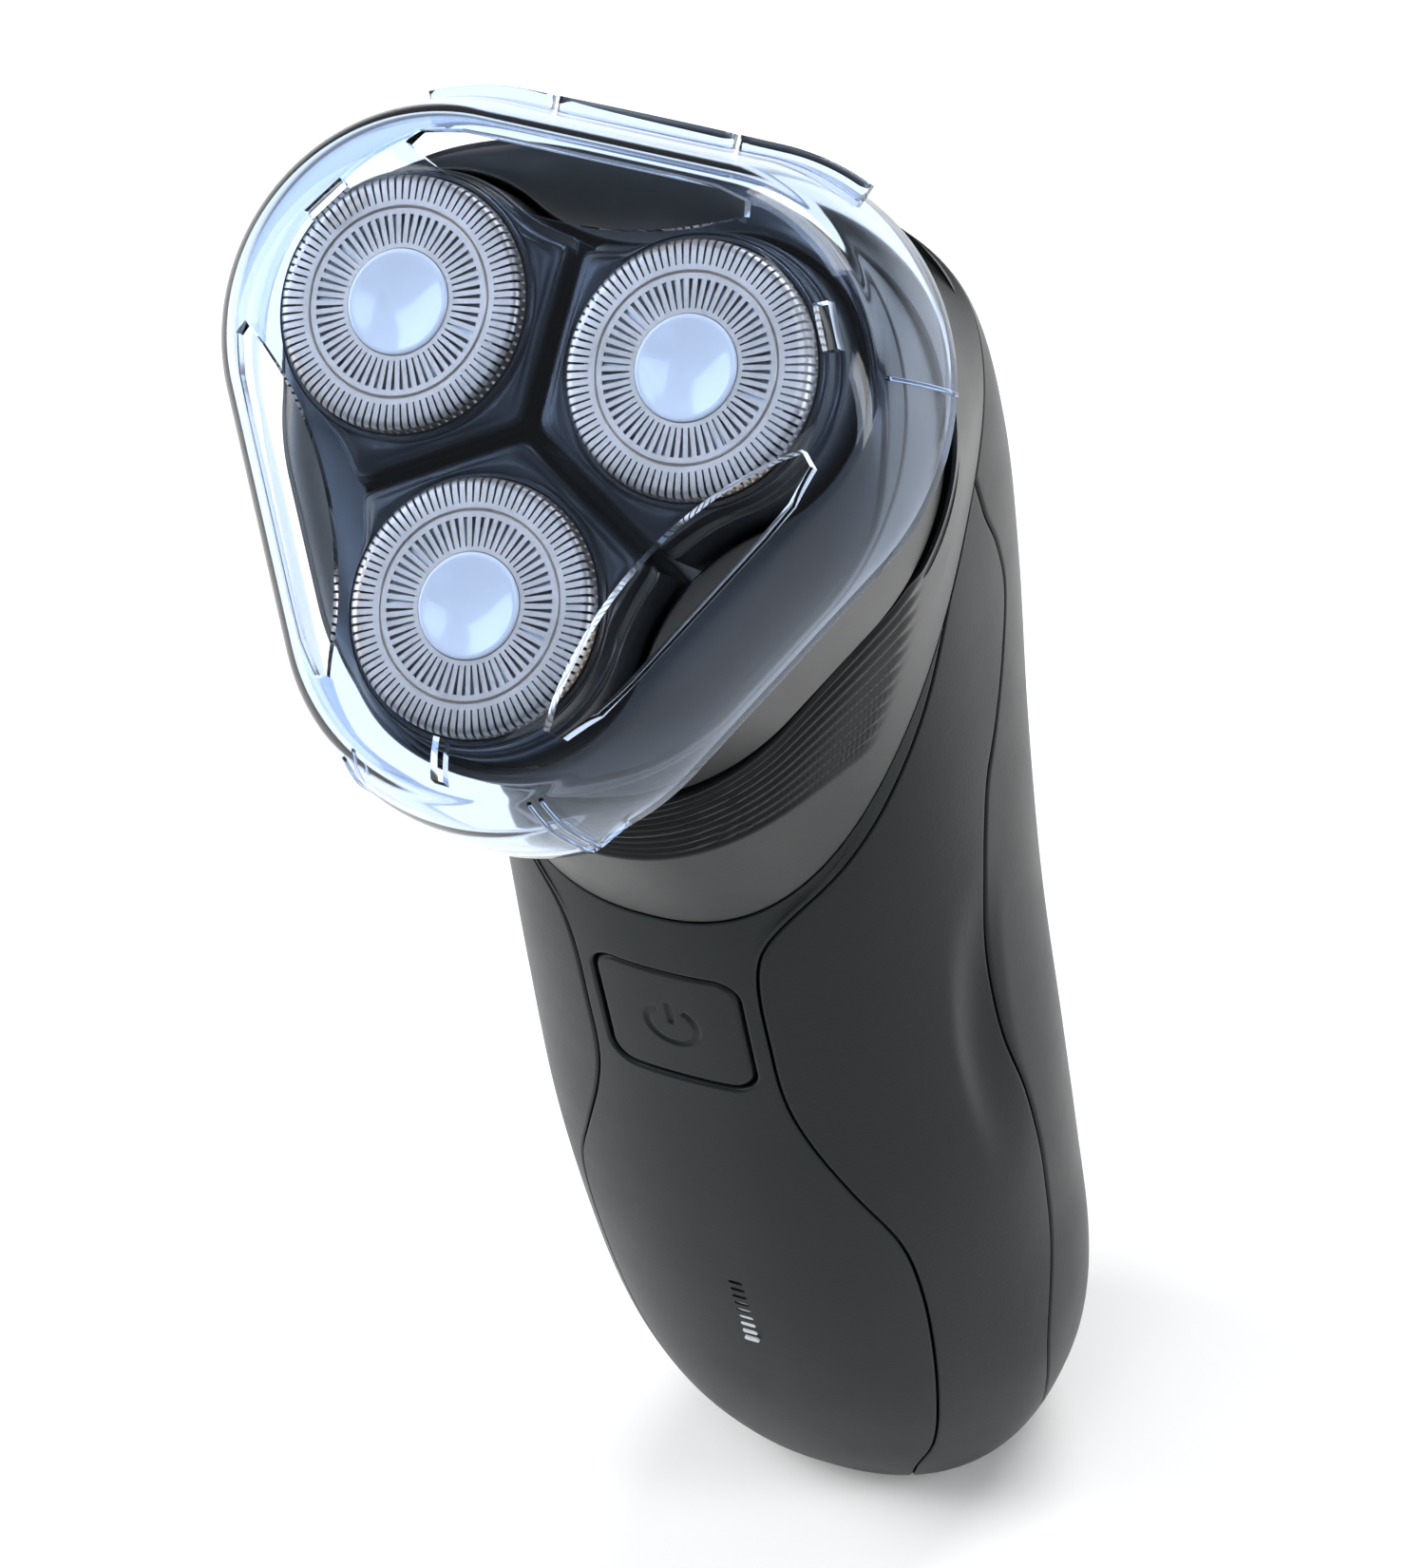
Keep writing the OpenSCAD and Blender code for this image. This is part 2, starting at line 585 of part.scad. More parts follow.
module chassis() {
    cradle_r = cell_r + 0.2;
    color("#3c3f43") difference() {
        union() {
            translate([-frame_w / 2, frame_y, cell_z - 2])
                cube([frame_w, frame_t, board_high - cell_z + 2]);
            for (z = [cell_z + hoop_in, cell_z + cell_len - hoop_in - hoop_h]) translate([0, cell_y, z])
                cylinder(r = cradle_r + hoop_wall, h = hoop_h);
            translate([-3, frame_y, cell_z + 2]) cube([6, 3.2, cell_len - 6]);
            for (z = [cell_z - contact_t - 0.1 - stop_t, cell_z + cell_len + contact_t + 0.1])
                translate([-5, frame_y, z]) cube([10, 14, stop_t]);
            for (x = [-1, 1], z = [board_low + boss_in, board_high - boss_in])
                translate([x * boss_x, board_y + board_t, z]) rotate([-90, 0, 0])
                    cylinder(r = boss_r, h = frame_y - board_y - board_t + 0.2);
        }
        translate([0, cell_y, cell_z - contact_t]) cylinder(r = cradle_r, h = cell_len + 2 * contact_t);
        translate([-cell_r * 2, cell_y + 3.5, 0]) cube([cell_r * 4, cell_r * 3, handle_len]);
        for (x = [-1, 1], z = [board_low + boss_in, board_high - boss_in])
            translate([x * boss_x, board_y, z]) rotate([-90, 0, 0])
                cylinder(r = board_screw_r, h = screw_long + 0.2);
    }
}

module battery_cell() {
    nub_h = 1.2;
    color("#3f7f5a") translate([0, cell_y, cell_z]) {
        cylinder(r = cell_r, h = cell_len - nub_h);
        translate([0, 0, cell_len - nub_h]) cylinder(r = cell_r * 0.4, h = nub_h);
    }
}

module cell_contacts() {
    color("#c9b36a") {
        for (z = [cell_z - contact_t, cell_z + cell_len])
            translate([-3, cell_y - 3, z]) cube([6, 6, contact_t]);
    }
}

module circuit_board() {
    color("#1f6b45") difference() {
        translate([-board_w / 2, board_y, board_low]) cube([board_w, board_t, board_high - board_low]);
        for (x = [-1, 1], z = [board_low + boss_in, board_high - boss_in])
            translate([x * boss_x, board_y - 1, z]) rotate([-90, 0, 0])
                cylinder(r = board_screw_r + 0.2, h = board_t + 2);
    }
}

module board_screws() {
    color("silver") for (x = [-1, 1], z = [board_low + boss_in, board_high - boss_in])
        translate([x * boss_x, board_y, z]) rotate([-90, 0, 0]) {
            translate([0, 0, -1]) cylinder(r = 1.6, h = 1);
            cylinder(r = board_screw_r - touch, h = screw_long);
        }
}

switch_h = 3;
switch_tip = 0.9;

module tact_switch() {
    color("#2a2c2f") translate([-3, board_y - switch_h, button_z - 3]) cube([6, switch_h, 6]);
    color("#d9d9d6") translate([0, board_y - switch_h, button_z]) rotate([90, 0, 0])
        cylinder(r = 1.6, h = switch_tip);
}

module power_button() {
    grid = 10;
    wide = button_w / 2 + 1.5;
    tall = button_h / 2 + 1;
    // Patch of the handle surface over the button, then trimmed to its outline
    function patch(inset) = [for (j = [0:grid]) [for (i = [0:grid])
        let (z = button_z - tall + 2 * tall * j / grid, x = wide * (2 * i / grid - 1),
             a = asin(signed_pow(x / half_width(z), 1 / section_power)), p = skin(z, a, 0))
        [x, p[1] + inset, z]]];
    stem_to = board_y - switch_h - switch_tip - button_travel - 0.1;
    color("#2b2d30") {
        intersection() {
            wall_between(patch(0), patch(button_t));
            front_cut(button_w, button_h, button_z, button_corner);
        }
        translate([0, front_y(button_z) + button_t - 0.5, button_z]) rotate([-90, 0, 0])
            cylinder(r = 1.5, h = stem_to - front_y(button_z) - button_t + 0.5);
    }
}

module light_guide() {
    back = board_y - 0.4;
    color("#e6ebee") {
        for (k = [0:led_bars - 1]) intersection() {
            translate([0, back, led_z + (k - (led_bars - 1) / 2) * led_pitch]) rotate([90, 0, 0])
                linear_extrude(back + front_reach)
                    rounded_square(led_w, led_bar_h, led_bar_h / 2 - 0.01);
            translate([-led_w, front_y(led_z) + 0.15, led_z - 10]) cube([2 * led_w, 20, 20]);
        }
        translate([-1.6, front_y(led_z) + shell_wall + 1, led_z - 6])
            cube([3.2, back - front_y(led_z) - shell_wall - 1, 12]);
    }
}

module charging_socket() {
    color("#111214") difference() {
        union() {
            translate([0, 0, foot_t]) cylinder(r = socket_r, h = plug_len - foot_t + 1);
            cylinder(r = plug_r + 1 - touch, h = foot_t);
        }
        translate([0, 0, -1]) cylinder(r = plug_r + 0.05, h = plug_len + 1);
    }
}

// ---- shaving unit -----------------------------------------------------------------------------
module hair_chamber() {
    floor_t = 1.3;
    drop = chamber_floor - chamber_top;
    lean = 1.1;
    color("#1f2022") difference() {
        on_head() {
            for (k = [0:3]) translate([0, 0, -chamber_top - drop * (k + 1) / 4])
                linear_extrude(drop / 4) difference() {
                    round_triangle(head_corner - lean * k / 3, head_side - lean * k / 3 * 0.6);
                    round_triangle(head_corner - lean * k / 3 - chamber_wall,
                                   head_side - lean * k / 3 * 0.6 - chamber_wall);
                }
            translate([0, 0, -chamber_floor]) linear_extrude(floor_t)
                round_triangle(head_corner - lean - 0.5, head_side - lean * 0.6 - 0.5);
        }
        on_head(chamber_floor + 1) for (i = [0:2]) at_pod(i) cylinder(r = collar_r + 0.7, h = 4);
    }
}

deck_clear = 0.6;
deck_corner = head_corner - 0.1;

module head_deck() {
    color("#191a1c") {
        on_head(chamber_top) linear_extrude(chamber_top - deck_top) difference() {
            round_triangle(deck_corner, head_side);
            clover(pod_r + 0.5 + deck_clear, pod_waist + 0.9 + deck_clear);
        }
    }
}

// Plate that keeps the cutters in their foils, held by a knob on a stud
knob_stud_r = 2.2;
knob_h = 3.4;

module cutter_holder() {
    ring_r = foil_r - 1.6;
    bore = 6.2;
    color("#c8ccd2") on_head(holder_top + holder_t) linear_extrude(holder_t) difference() {
        union() {
            for (a = POD_ANGLE) rotate(a) translate([gear_pitch, 0]) circle(ring_r);
            circle(9);
            for (a = POD_ANGLE) rotate(a + 60)
                translate([0, -3]) square([head_side - chamber_wall - touch * 2, 6]);
        }
        for (a = POD_ANGLE) rotate(a) translate([gear_pitch, 0]) circle(bore);
        circle(knob_stud_r);
    }
}

module holder_knob() {
    color("#5b6168") on_head(holder_top + holder_t + knob_h) {
        cylinder(r = 5.5, h = knob_h, $fn = 6);
        cylinder(r = knob_stud_r - touch, h = knob_h + holder_t);
    }
}

pod_bore = foil_r - 1.2;

module pod(i) {
    color("#232527") on_head() rotate(POD_ANGLE[i]) difference() {
        union() {
            translate([0, 0, -pod_step]) linear_extrude(pod_step - pod_top)
                petal(pod_r, pod_waist, pod_gap);
            translate([0, 0, -pod_floor]) linear_extrude(pod_floor - pod_step)
                petal(pod_r + 0.5, pod_waist + 0.9, pod_gap);
        }
        translate([gear_pitch, 0, -foil_h - 0.01]) cylinder(r = foil_r + touch, h = foil_h + 1);
        translate([gear_pitch, 0, -pod_floor - 1]) cylinder(r = pod_bore, h = pod_floor);
    }
}

foil_cap_r = 4.4;

module foil(i) {
    color("#b7b2a8") on_head() at_pod(i) difference() {
        translate([0, 0, -foil_h]) cylinder(r = foil_r, h = foil_h);
        translate([0, 0, -foil_h - 1]) cylinder(r = foil_r - foil_t, h = foil_h + 1 - foil_t);
        translate([0, 0, -1]) cylinder(r = foil_cap_r, h = 2);
    }
}

module foil_cap(i) {
    color("#dfe8f2") on_head() at_pod(i) {
        translate([0, 0, -foil_t - 0.01]) cylinder(r = foil_cap_r - touch, h = foil_t + 0.25);
    }
}

cutter_top = foil_t + 0.12;
cutter_r = foil_r - 1.7;
blades = 9;
blade_in = foil_cap_r + 0.2;

module cutter(i) {
    hub_r = 3.4;
    color("#9fa3a6") on_head() at_pod(i) {
        difference() {
            union() {
                translate([0, 0, -3.4]) cylinder(r = cutter_r, h = 1);
                translate([0, 0, -11]) cylinder(r = hub_r, h = 8.4);
                for (k = [0:blades - 1]) rotate(360 * k / blades) translate([blade_in, -0.4, -3])
                    cube([cutter_r + 0.1 - blade_in, 0.8, 3 - cutter_top]);
            }
            translate([0, 0, -12]) cylinder(r = tip_r + 0.45, h = 12 - 4, $fn = 6);
        }
    }
}

// ---- clear cap -------------------------------------------------------------------------------
cap_n = 72;
rim_corner = head_corner + 0.7;
rim_side = head_side - 2.6;
skirt_corner = rim_corner + cap_flare;
skirt_side = rim_side + cap_flare;
web_waist = gear_pitch + 1.5;
web_arc = 34;
rim_land = 1.4;                                 // rim left beside a window's ends
window_wrap = 1.3;                              // reach of the windows over the rim's flat sides
window_depth = 3;

// Rings from the skirt edge up and over the face; the chin tab hangs lower at the front
function cap_ring(u, inset) =
    let (depth = cap_depth - u * (cap_depth + cap_room + cap_wall - inset),
         ease = u ^ 1.8, c = skirt_corner + (rim_corner - skirt_corner) * ease - inset,
         s = skirt_side + (rim_side - skirt_side) * ease - inset,
         ring = round_triangle_ring(c, s, depth, [for (i = [0:cap_n - 1]) 360 * i / cap_n]))
    [for (i = [0:cap_n - 1])
        let (w = bump(min(abs(360 * i / cap_n - 270) / 26, 1)))
        u > 0 ? ring[i] : ring[i] + chin_tab * min(1, w * 3) * [0, sin(head_tilt), -cos(head_tilt)]];

module cap_windows() {
    on_head(window_depth) for (a = POD_ANGLE) rotate(a + 60)
        linear_extrude(window_depth + cap_room + cap_wall + 1) intersection() {
            translate([web_waist + web_arc, 0]) circle(web_arc, $fn = 96);
            rotate(-a - 60) round_triangle(rim_corner - rim_land, rim_side + window_wrap);
            translate([0, -rim_corner * 0.6]) square(rim_corner * 1.2);
        }
}

module clear_cap() {
    steps = 7;
    color("#cfe0f0", 0.35) difference() {
        ring_cup([for (k = [0:steps]) cap_ring(k / steps, 0)],
                 [for (k = [0:steps]) cap_ring(k / steps, cap_wall)]);
        cap_windows();
    }
}

front_panel();
grip_left();
grip_right();
back_shell();
foot_plate();
neck_housing();
gear_cover();
gear_plate();
gear_pins();
gear_screws();
chassis();
battery_cell();
cell_contacts();
circuit_board();
board_screws();
tact_switch();
light_guide();
charging_socket();
motor_can();
motor_shaft();
motor_pinion();
power_button();
drive_gear(0);  // drive_gear_1
drive_gear(1);  // drive_gear_2
drive_gear(2);  // drive_gear_3
spindle_spring(0);  // spindle_spring_1
spindle_spring(1);  // spindle_spring_2
spindle_spring(2);  // spindle_spring_3
hair_chamber();
head_deck();
cutter_holder();
holder_knob();
pod(0);  // pod_1
pod(1);  // pod_2
pod(2);  // pod_3
foil(0);  // foil_1
foil(1);  // foil_2
foil(2);  // foil_3
foil_cap(0);  // foil_cap_1
foil_cap(1);  // foil_cap_2
foil_cap(2);  // foil_cap_3
cutter(0);  // cutter_1
cutter(1);  // cutter_2
cutter(2);  // cutter_3
clear_cap();
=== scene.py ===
# Three-head rotary shaver with a clear travel cap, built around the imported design.
# Shapes are worked out in millimetres and brought to metres as each piece is made.
import math
import bmesh
import bpy
from mathutils import Matrix, Quaternion, Vector


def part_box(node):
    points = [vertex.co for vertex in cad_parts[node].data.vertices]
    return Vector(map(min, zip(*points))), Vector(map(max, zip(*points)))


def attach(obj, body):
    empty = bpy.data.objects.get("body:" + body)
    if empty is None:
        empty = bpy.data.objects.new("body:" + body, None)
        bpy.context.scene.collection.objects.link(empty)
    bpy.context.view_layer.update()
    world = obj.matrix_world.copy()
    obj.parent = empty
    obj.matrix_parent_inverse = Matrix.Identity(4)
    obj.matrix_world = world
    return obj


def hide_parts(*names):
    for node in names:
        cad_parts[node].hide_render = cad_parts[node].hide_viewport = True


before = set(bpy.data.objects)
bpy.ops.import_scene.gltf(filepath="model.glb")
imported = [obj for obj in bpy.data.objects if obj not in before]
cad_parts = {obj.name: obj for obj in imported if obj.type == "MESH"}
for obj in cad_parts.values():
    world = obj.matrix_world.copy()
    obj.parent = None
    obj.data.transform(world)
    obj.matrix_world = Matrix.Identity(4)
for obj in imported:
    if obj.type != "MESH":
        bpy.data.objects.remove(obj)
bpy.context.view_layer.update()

# ---- Camera ---------------------------------------------------------------------------
# A long lens looks down on the tilted head from the front right, slightly rolled.
eye = Vector((0.25127, -0.37093, 0.58728))
aim = Vector((0.0, -0.00653, 0.09676))
roll = math.radians(-12.92)
lens = 190.66

camera_data = bpy.data.cameras.new("camera")
camera_data.sensor_fit = "HORIZONTAL"
camera_data.sensor_width = 36.0
camera_data.lens = lens
camera = bpy.data.objects.new("camera", camera_data)
bpy.context.scene.collection.objects.link(camera)
camera.matrix_world = Matrix.Translation(eye) @ (
    (aim - eye).to_track_quat("-Z", "Y") @ Quaternion((0, 0, 1), roll)).to_matrix().to_4x4()
bpy.context.scene.camera = camera
bpy.context.scene.view_settings.view_transform = "Standard"

# ---- Floor and lights -------------------------------------------------------------------
# A pale studio sweep under soft boxes: high on the left, behind, on the right, in front, and a
# small one right above the head.
floor_size = 6.0
floor_drop = 0.0002
floor_mesh = bpy.data.meshes.new("studio_floor")
bm = bmesh.new()
bmesh.ops.create_grid(bm, x_segments=4, y_segments=4, size=floor_size / 2)
bmesh.ops.translate(bm, verts=bm.verts, vec=(0, 0, -floor_drop))
bm.to_mesh(floor_mesh)
bm.free()
floor = bpy.data.objects.new("studio_floor", floor_mesh)
bpy.context.scene.collection.objects.link(floor)
floor_paper = bpy.data.materials.new("studio_paper")
floor_paper.use_nodes = True
floor_paper.node_tree.nodes["Principled BSDF"].inputs["Base Color"].default_value = (0.93, 0.93, 0.93, 1)
floor_paper.node_tree.nodes["Principled BSDF"].inputs["Roughness"].default_value = 0.9
floor_mesh.materials.append(floor_paper)

world = bpy.data.worlds.new("studio_air")
world.use_nodes = True
world.node_tree.nodes["Background"].inputs["Color"].default_value = (0.93, 0.96, 1.0, 1)
world.node_tree.nodes["Background"].inputs["Strength"].default_value = 0.30
bpy.context.scene.world = world


def soft_box(name, place, target, width, height, power):
    """Rectangular lamp that faces a target, with its size in metres and its power in watts."""
    data = bpy.data.lights.new(name, "AREA")
    data.shape = "RECTANGLE"
    data.size = width
    data.size_y = height
    data.energy = power
    lamp = bpy.data.objects.new(name, data)
    lamp.location = place
    lamp.rotation_euler = (Vector(target) - Vector(place)).to_track_quat("-Z", "Y").to_euler()
    bpy.context.scene.collection.objects.link(lamp)


soft_box("left_box", (-0.75, -0.25, 0.6), (0, 0, 0.08), 0.5, 0.9, 9.0)
soft_box("back_box", (0.15, 0.7, 0.75), (0, 0, 0.12), 0.7, 0.4, 8.0)
soft_box("right_box", (0.8, 0.05, 0.35), (0, 0, 0.07), 0.16, 0.7, 3.5)
soft_box("front_box", (0.2, -0.9, 0.9), (0, 0, 0.1), 0.8, 0.5, 1.8)
soft_box("head_box", (-0.02, -0.24, 0.72), (0, -0.02, 0.14), 0.25, 0.2, 0.7)

# ---- Handle shells ------------------------------------------------------------------------
# Four injection-moulded ABS shells with a soft-touch coat, clipped together along curved seams:
# front panel, two side grips with finger scoops, and the back shell.
handle_len = 150.0
front_reach = 21.3
back_reach = 30.0
half_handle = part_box("grip_right")[1].x * 1000
shell_wall = 1.8
skin_power = 2.35
seam_gap = 0.2
seam_round = 0.28
scoop_depth = 1.1
collar_z = 0.63 * handle_len
collar_slope = 1.13
PROFILE = [(0, 0.38, 0.32, 0.45), (0.017, 0.56, 0.45, 0.63), (0.047, 0.685, 0.53, 0.77),
           (0.093, 0.8, 0.575, 0.88), (0.16, 0.9, 0.595, 0.955), (0.25, 0.97, 0.61, 0.985),
           (0.36, 1, 0.635, 1), (0.48, 0.995, 0.71, 0.98), (0.6, 0.985, 0.85, 0.96),
           (0.71, 0.94, 0.975, 0.96), (0.81, 0.85, 1, 0.975), (0.91, 0.66, 0.885, 0.985),
           (1, 0.42, 0.58, 0.975)]
SEAMS = [(0, 26, 84), (0.055, 29, 80), (0.1, 36, 79), (0.16, 40, 80), (0.24, 43, 87),
         (0.3, 42.5, 88.5), (0.34, 39.5, 88.5), (0.39, 31, 87), (0.44, 23.5, 84), (0.48, 20, 83),
         (0.53, 19.5, 83), (0.585, 20, 85), (0.615, 23, 87), (0.64, 31, 89), (0.67, 46, 93),
         (0.7, 58, 97), (0.74, 70, 101), (0.78, 78, 99), (0.82, 84, 95), (0.9, 87, 91.5),
         (1, 87, 91.5)]


def along(table, share, column):
    """Smooth curve through one column of a table, whose first column is the share of height."""
    share = min(max(share, table[0][0]), table[-1][0])
    i = 0
    while i < len(table) - 2 and share >= table[i + 1][0]:
        i += 1

    def slope(k):
        low, high = table[max(k - 1, 0)], table[min(k + 1, len(table) - 1)]
        return (high[column] - low[column]) / (high[0] - low[0])

    h = table[i + 1][0] - table[i][0]
    u = (share - table[i][0]) / h
    return ((2 * u**3 - 3 * u**2 + 1) * table[i][column] + (u**3 - 2 * u**2 + u) * h * slope(i)
            + (3 * u**2 - 2 * u**3) * table[i + 1][column] + (u**3 - u**2) * h * slope(i + 1))


def bump(v):
    """Soft hump: 1 at 0, and flat at 0 from 1 on."""
    return 0.0 if abs(v) >= 1 else (1 - v * v) ** 2


def ramp(v, low, high):
    """Soft step from 0 at low to 1 at high."""
    t = min(max((v - low) / (high - low), 0.0), 1.0)
    return t * t * (3 - 2 * t)


def signed_power(v, power):
    return math.copysign(abs(v) ** power, v)


def scoop(z, turn):
    """Depth of the finger scoop: a crescent just ahead of the rear seam."""
    u = (z - 0.46 * handle_len) / (0.135 * handle_len)
    return scoop_depth * bump(u) * bump((abs(turn) - 76 - 6 * u * u) / 11)


def skin(z, turn, sunk=0.0):
    """Point on the handle's surface at a height and an angle from the front, sunk inwards."""
    share = z / handle_len
    half = half_handle * along(PROFILE, share, 3) - sunk
    front = -front_reach * along(PROFILE, share, 1) + sunk
    back = back_reach * along(PROFILE, share, 2) - sunk
    side = turn if turn <= 180 else turn - 360
    a = math.radians(turn)
    x = (half - scoop(z, side)) * signed_power(math.sin(a), 2 / skin_power)
    y = (front + back) / 2 - (back - front) / 2 * signed_power(math.cos(a), 2 / skin_power)
    return Vector((x, y, z))


def seam_turn(z, column):
    """Angle of a seam: 0 is the left front seam, then right front, right rear and left rear."""
    share = z / handle_len
    return (-along(SEAMS, share, 1), along(SEAMS, share, 1), along(SEAMS, share, 2),
            360 - along(SEAMS, share, 2), 360 - along(SEAMS, share, 1))[column]


def collar(turn_at):
    """Height at which the slanted collar crosses a line of angles turn_at(z)."""
    low, high = 0.0, 1.3 * handle_len
    for _ in range(22):
        z = (low + high) / 2
        if z < collar_z + (skin(z, turn_at(z)).y + front_reach) * collar_slope:
            low = z
        else:
            high = z
    return z


def sheet(bm, across, up, place, closed=False):
    """Lays a grid of squares on the surface place(u, v), where u and v run from 0 to 1."""
    made = bmesh.ops.create_grid(bm, x_segments=across, y_segments=up, size=0.5)["verts"]
    for v in made:
        v.co = place(round((v.co.x + 0.5) * across) / across, round((v.co.y + 0.5) * up) / up)
    if closed:
        bmesh.ops.remove_doubles(bm, verts=made, dist=1e-4)
    return made


def crowd(t):
    """Spreads 0 to 1 so that steps are closest at both ends, where edges are rounded."""
    return 0.5 - 0.5 * math.cos(math.pi * t)


def edge_drop(distance, radius):
    """How far a rounded edge falls away at a distance from that edge."""
    d = min(max(distance, 0.0), radius)
    return radius - math.sqrt(radius**2 - (radius - d) ** 2)


def add_piece(name, bm, materials, body, stands_for=()):
    """Brings a mesh to metres, names it, and hangs it on its body."""
    bmesh.ops.scale(bm, vec=(0.001, 0.001, 0.001), verts=bm.verts)
    mesh = bpy.data.meshes.new(name)
    bm.to_mesh(mesh)
    bm.free()
    for material in materials:
        mesh.materials.append(material)
    piece = bpy.data.objects.new(name, mesh)
    bpy.context.scene.collection.objects.link(piece)
    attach(piece, body)
    if stands_for:
        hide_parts(*stands_for)
    return piece


def add_wall(piece, thickness):
    """Gives an outer skin its wall, in millimetres, on the inside."""
    solid = piece.modifiers.new("wall", "SOLIDIFY")
    solid.thickness = thickness / 1000
    solid.offset = -1
    solid.use_even_offset = False


def cut_with(piece, cutter):
    """Cuts one closed mesh out of a piece, and removes the cutter."""
    cut = piece.modifiers.new("cut", "BOOLEAN")
    cut.operation = "DIFFERENCE"
    cut.solver = "EXACT"
    cut.object = cutter
    settle(piece)
    bpy.data.objects.remove(cutter)


def settle(piece, sharp=32):
    """Turns a piece's modifiers into plain mesh, smooth except at edges sharper than the angle."""
    deps = bpy.context.evaluated_depsgraph_get()
    deps.update()
    mesh = bpy.data.meshes.new_from_object(piece.evaluated_get(deps))
    piece.modifiers.clear()
    piece.data = mesh
    smooth(piece, sharp)


def smooth(piece, sharp=32):
    piece.data.polygons.foreach_set("use_smooth", [True] * len(piece.data.polygons))
    piece.data.set_sharp_from_angle(angle=math.radians(sharp))
    piece.data.update()


def finish_group(name, given_sockets):
    """Empty node group that gives a finish: a colour, a roughness and a normal."""
    group = bpy.data.node_groups.new(name, "ShaderNodeTree")
    for socket, value in given_sockets.items():
        kind = "NodeSocketFloat" if isinstance(value, float) else "NodeSocketColor"
        group.interface.new_socket(socket, in_out="INPUT", socket_type=kind).default_value = value
    for socket, kind in (("Colour", "NodeSocketColor"), ("Roughness", "NodeSocketFloat"),
                         ("Normal", "NodeSocketVector")):
        group.interface.new_socket(socket, in_out="OUTPUT", socket_type=kind)
    return group


def with_finish(name, group, values):
    """Material whose colour, roughness and normal come from a finish group."""
    material = bpy.data.materials.new(name)
    material.use_nodes = True
    nodes, links = material.node_tree.nodes, material.node_tree.links
    shader = nodes["Principled BSDF"]
    finish = nodes.new("ShaderNodeGroup")
    finish.node_tree = group
    for socket, value in values.items():
        finish.inputs[socket].default_value = value
    links.new(finish.outputs["Colour"], shader.inputs["Base Color"])
    links.new(finish.outputs["Roughness"], shader.inputs["Roughness"])
    links.new(finish.outputs["Normal"], shader.inputs["Normal"])
    return material


def moulded_group():
    """Moulded plastic: fine grain in the normal, and slow changes of tone and gloss."""
    group = finish_group("moulded_finish", {
        "Colour": (0.02, 0.02, 0.02, 1), "Worn colour": (0.04, 0.04, 0.04, 1), "Gloss": 0.4,
        "Gloss change": 0.08, "Grain scale": 3000.0, "Grain depth": 0.1})
    nodes, links = group.nodes, group.links
    given, out = nodes.new("NodeGroupInput"), nodes.new("NodeGroupOutput")
    coord = nodes.new("ShaderNodeTexCoord")
    grain = nodes.new("ShaderNodeTexNoise")
    grain.inputs["Detail"].default_value = 2.0
    slow = nodes.new("ShaderNodeTexNoise")
    slow.inputs["Scale"].default_value = 38.0
    slow.inputs["Detail"].default_value = 5.0
    slow.inputs["Roughness"].default_value = 0.62
    mask = nodes.new("ShaderNodeMapRange")
    mask.inputs["From Min"].default_value = 0.42
    mask.inputs["From Max"].default_value = 0.68
    tone = nodes.new("ShaderNodeMix")
    tone.data_type = "RGBA"
    change = nodes.new("ShaderNodeMath")
    change.operation = "MULTIPLY_ADD"
    lift = nodes.new("ShaderNodeBump")
    lift.inputs["Distance"].default_value = 0.00006
    links.new(coord.outputs["Object"], grain.inputs["Vector"])
    links.new(coord.outputs["Object"], slow.inputs["Vector"])
    links.new(given.outputs["Grain scale"], grain.inputs["Scale"])
    links.new(slow.outputs["Fac"], mask.inputs["Value"])
    links.new(mask.outputs["Result"], tone.inputs["Factor"])
    links.new(given.outputs["Colour"], tone.inputs["A"])
    links.new(given.outputs["Worn colour"], tone.inputs["B"])
    links.new(mask.outputs["Result"], change.inputs[0])
    links.new(given.outputs["Gloss change"], change.inputs[1])
    links.new(given.outputs["Gloss"], change.inputs[2])
    links.new(given.outputs["Grain depth"], lift.inputs["Strength"])
    links.new(grain.outputs["Fac"], lift.inputs["Height"])
    links.new(tone.outputs["Result"], out.inputs["Colour"])
    links.new(change.outputs["Value"], out.inputs["Roughness"])
    links.new(lift.outputs["Normal"], out.inputs["Normal"])
    return group


moulded_finish = moulded_group()


def plastic(name, colour, worn, gloss, change=0.08, grain=3000.0, depth=0.1, **sockets):
    """A moulded plastic; extra values are set on the shader itself."""
    material = with_finish(name, moulded_finish, {
        "Colour": (*colour, 1), "Worn colour": (*worn, 1), "Gloss": gloss, "Gloss change": change,
        "Grain scale": grain, "Grain depth": depth})
    shader = material.node_tree.nodes["Principled BSDF"]
    for socket, value in sockets.items():
        shader.inputs[socket.replace("_", " ")].default_value = value
    return material


soft_black = plastic("soft_touch_black", (0.0070, 0.0098, 0.0112), (0.010, 0.0135, 0.015), 0.40, 0.09,
                     2600.0, 0.16, Specular_IOR_Level=0.15)
grip_black = plastic("grip_black", (0.0045, 0.0064, 0.0075), (0.007, 0.0095, 0.0108), 0.36, 0.08,
                     2200.0, 0.22, Specular_IOR_Level=0.15)
shell_black = plastic("shell_black", (0.0055, 0.0065, 0.0075), (0.009, 0.0105, 0.0115), 0.36, 0.08,
                      2600.0, 0.16, Specular_IOR_Level=0.15)


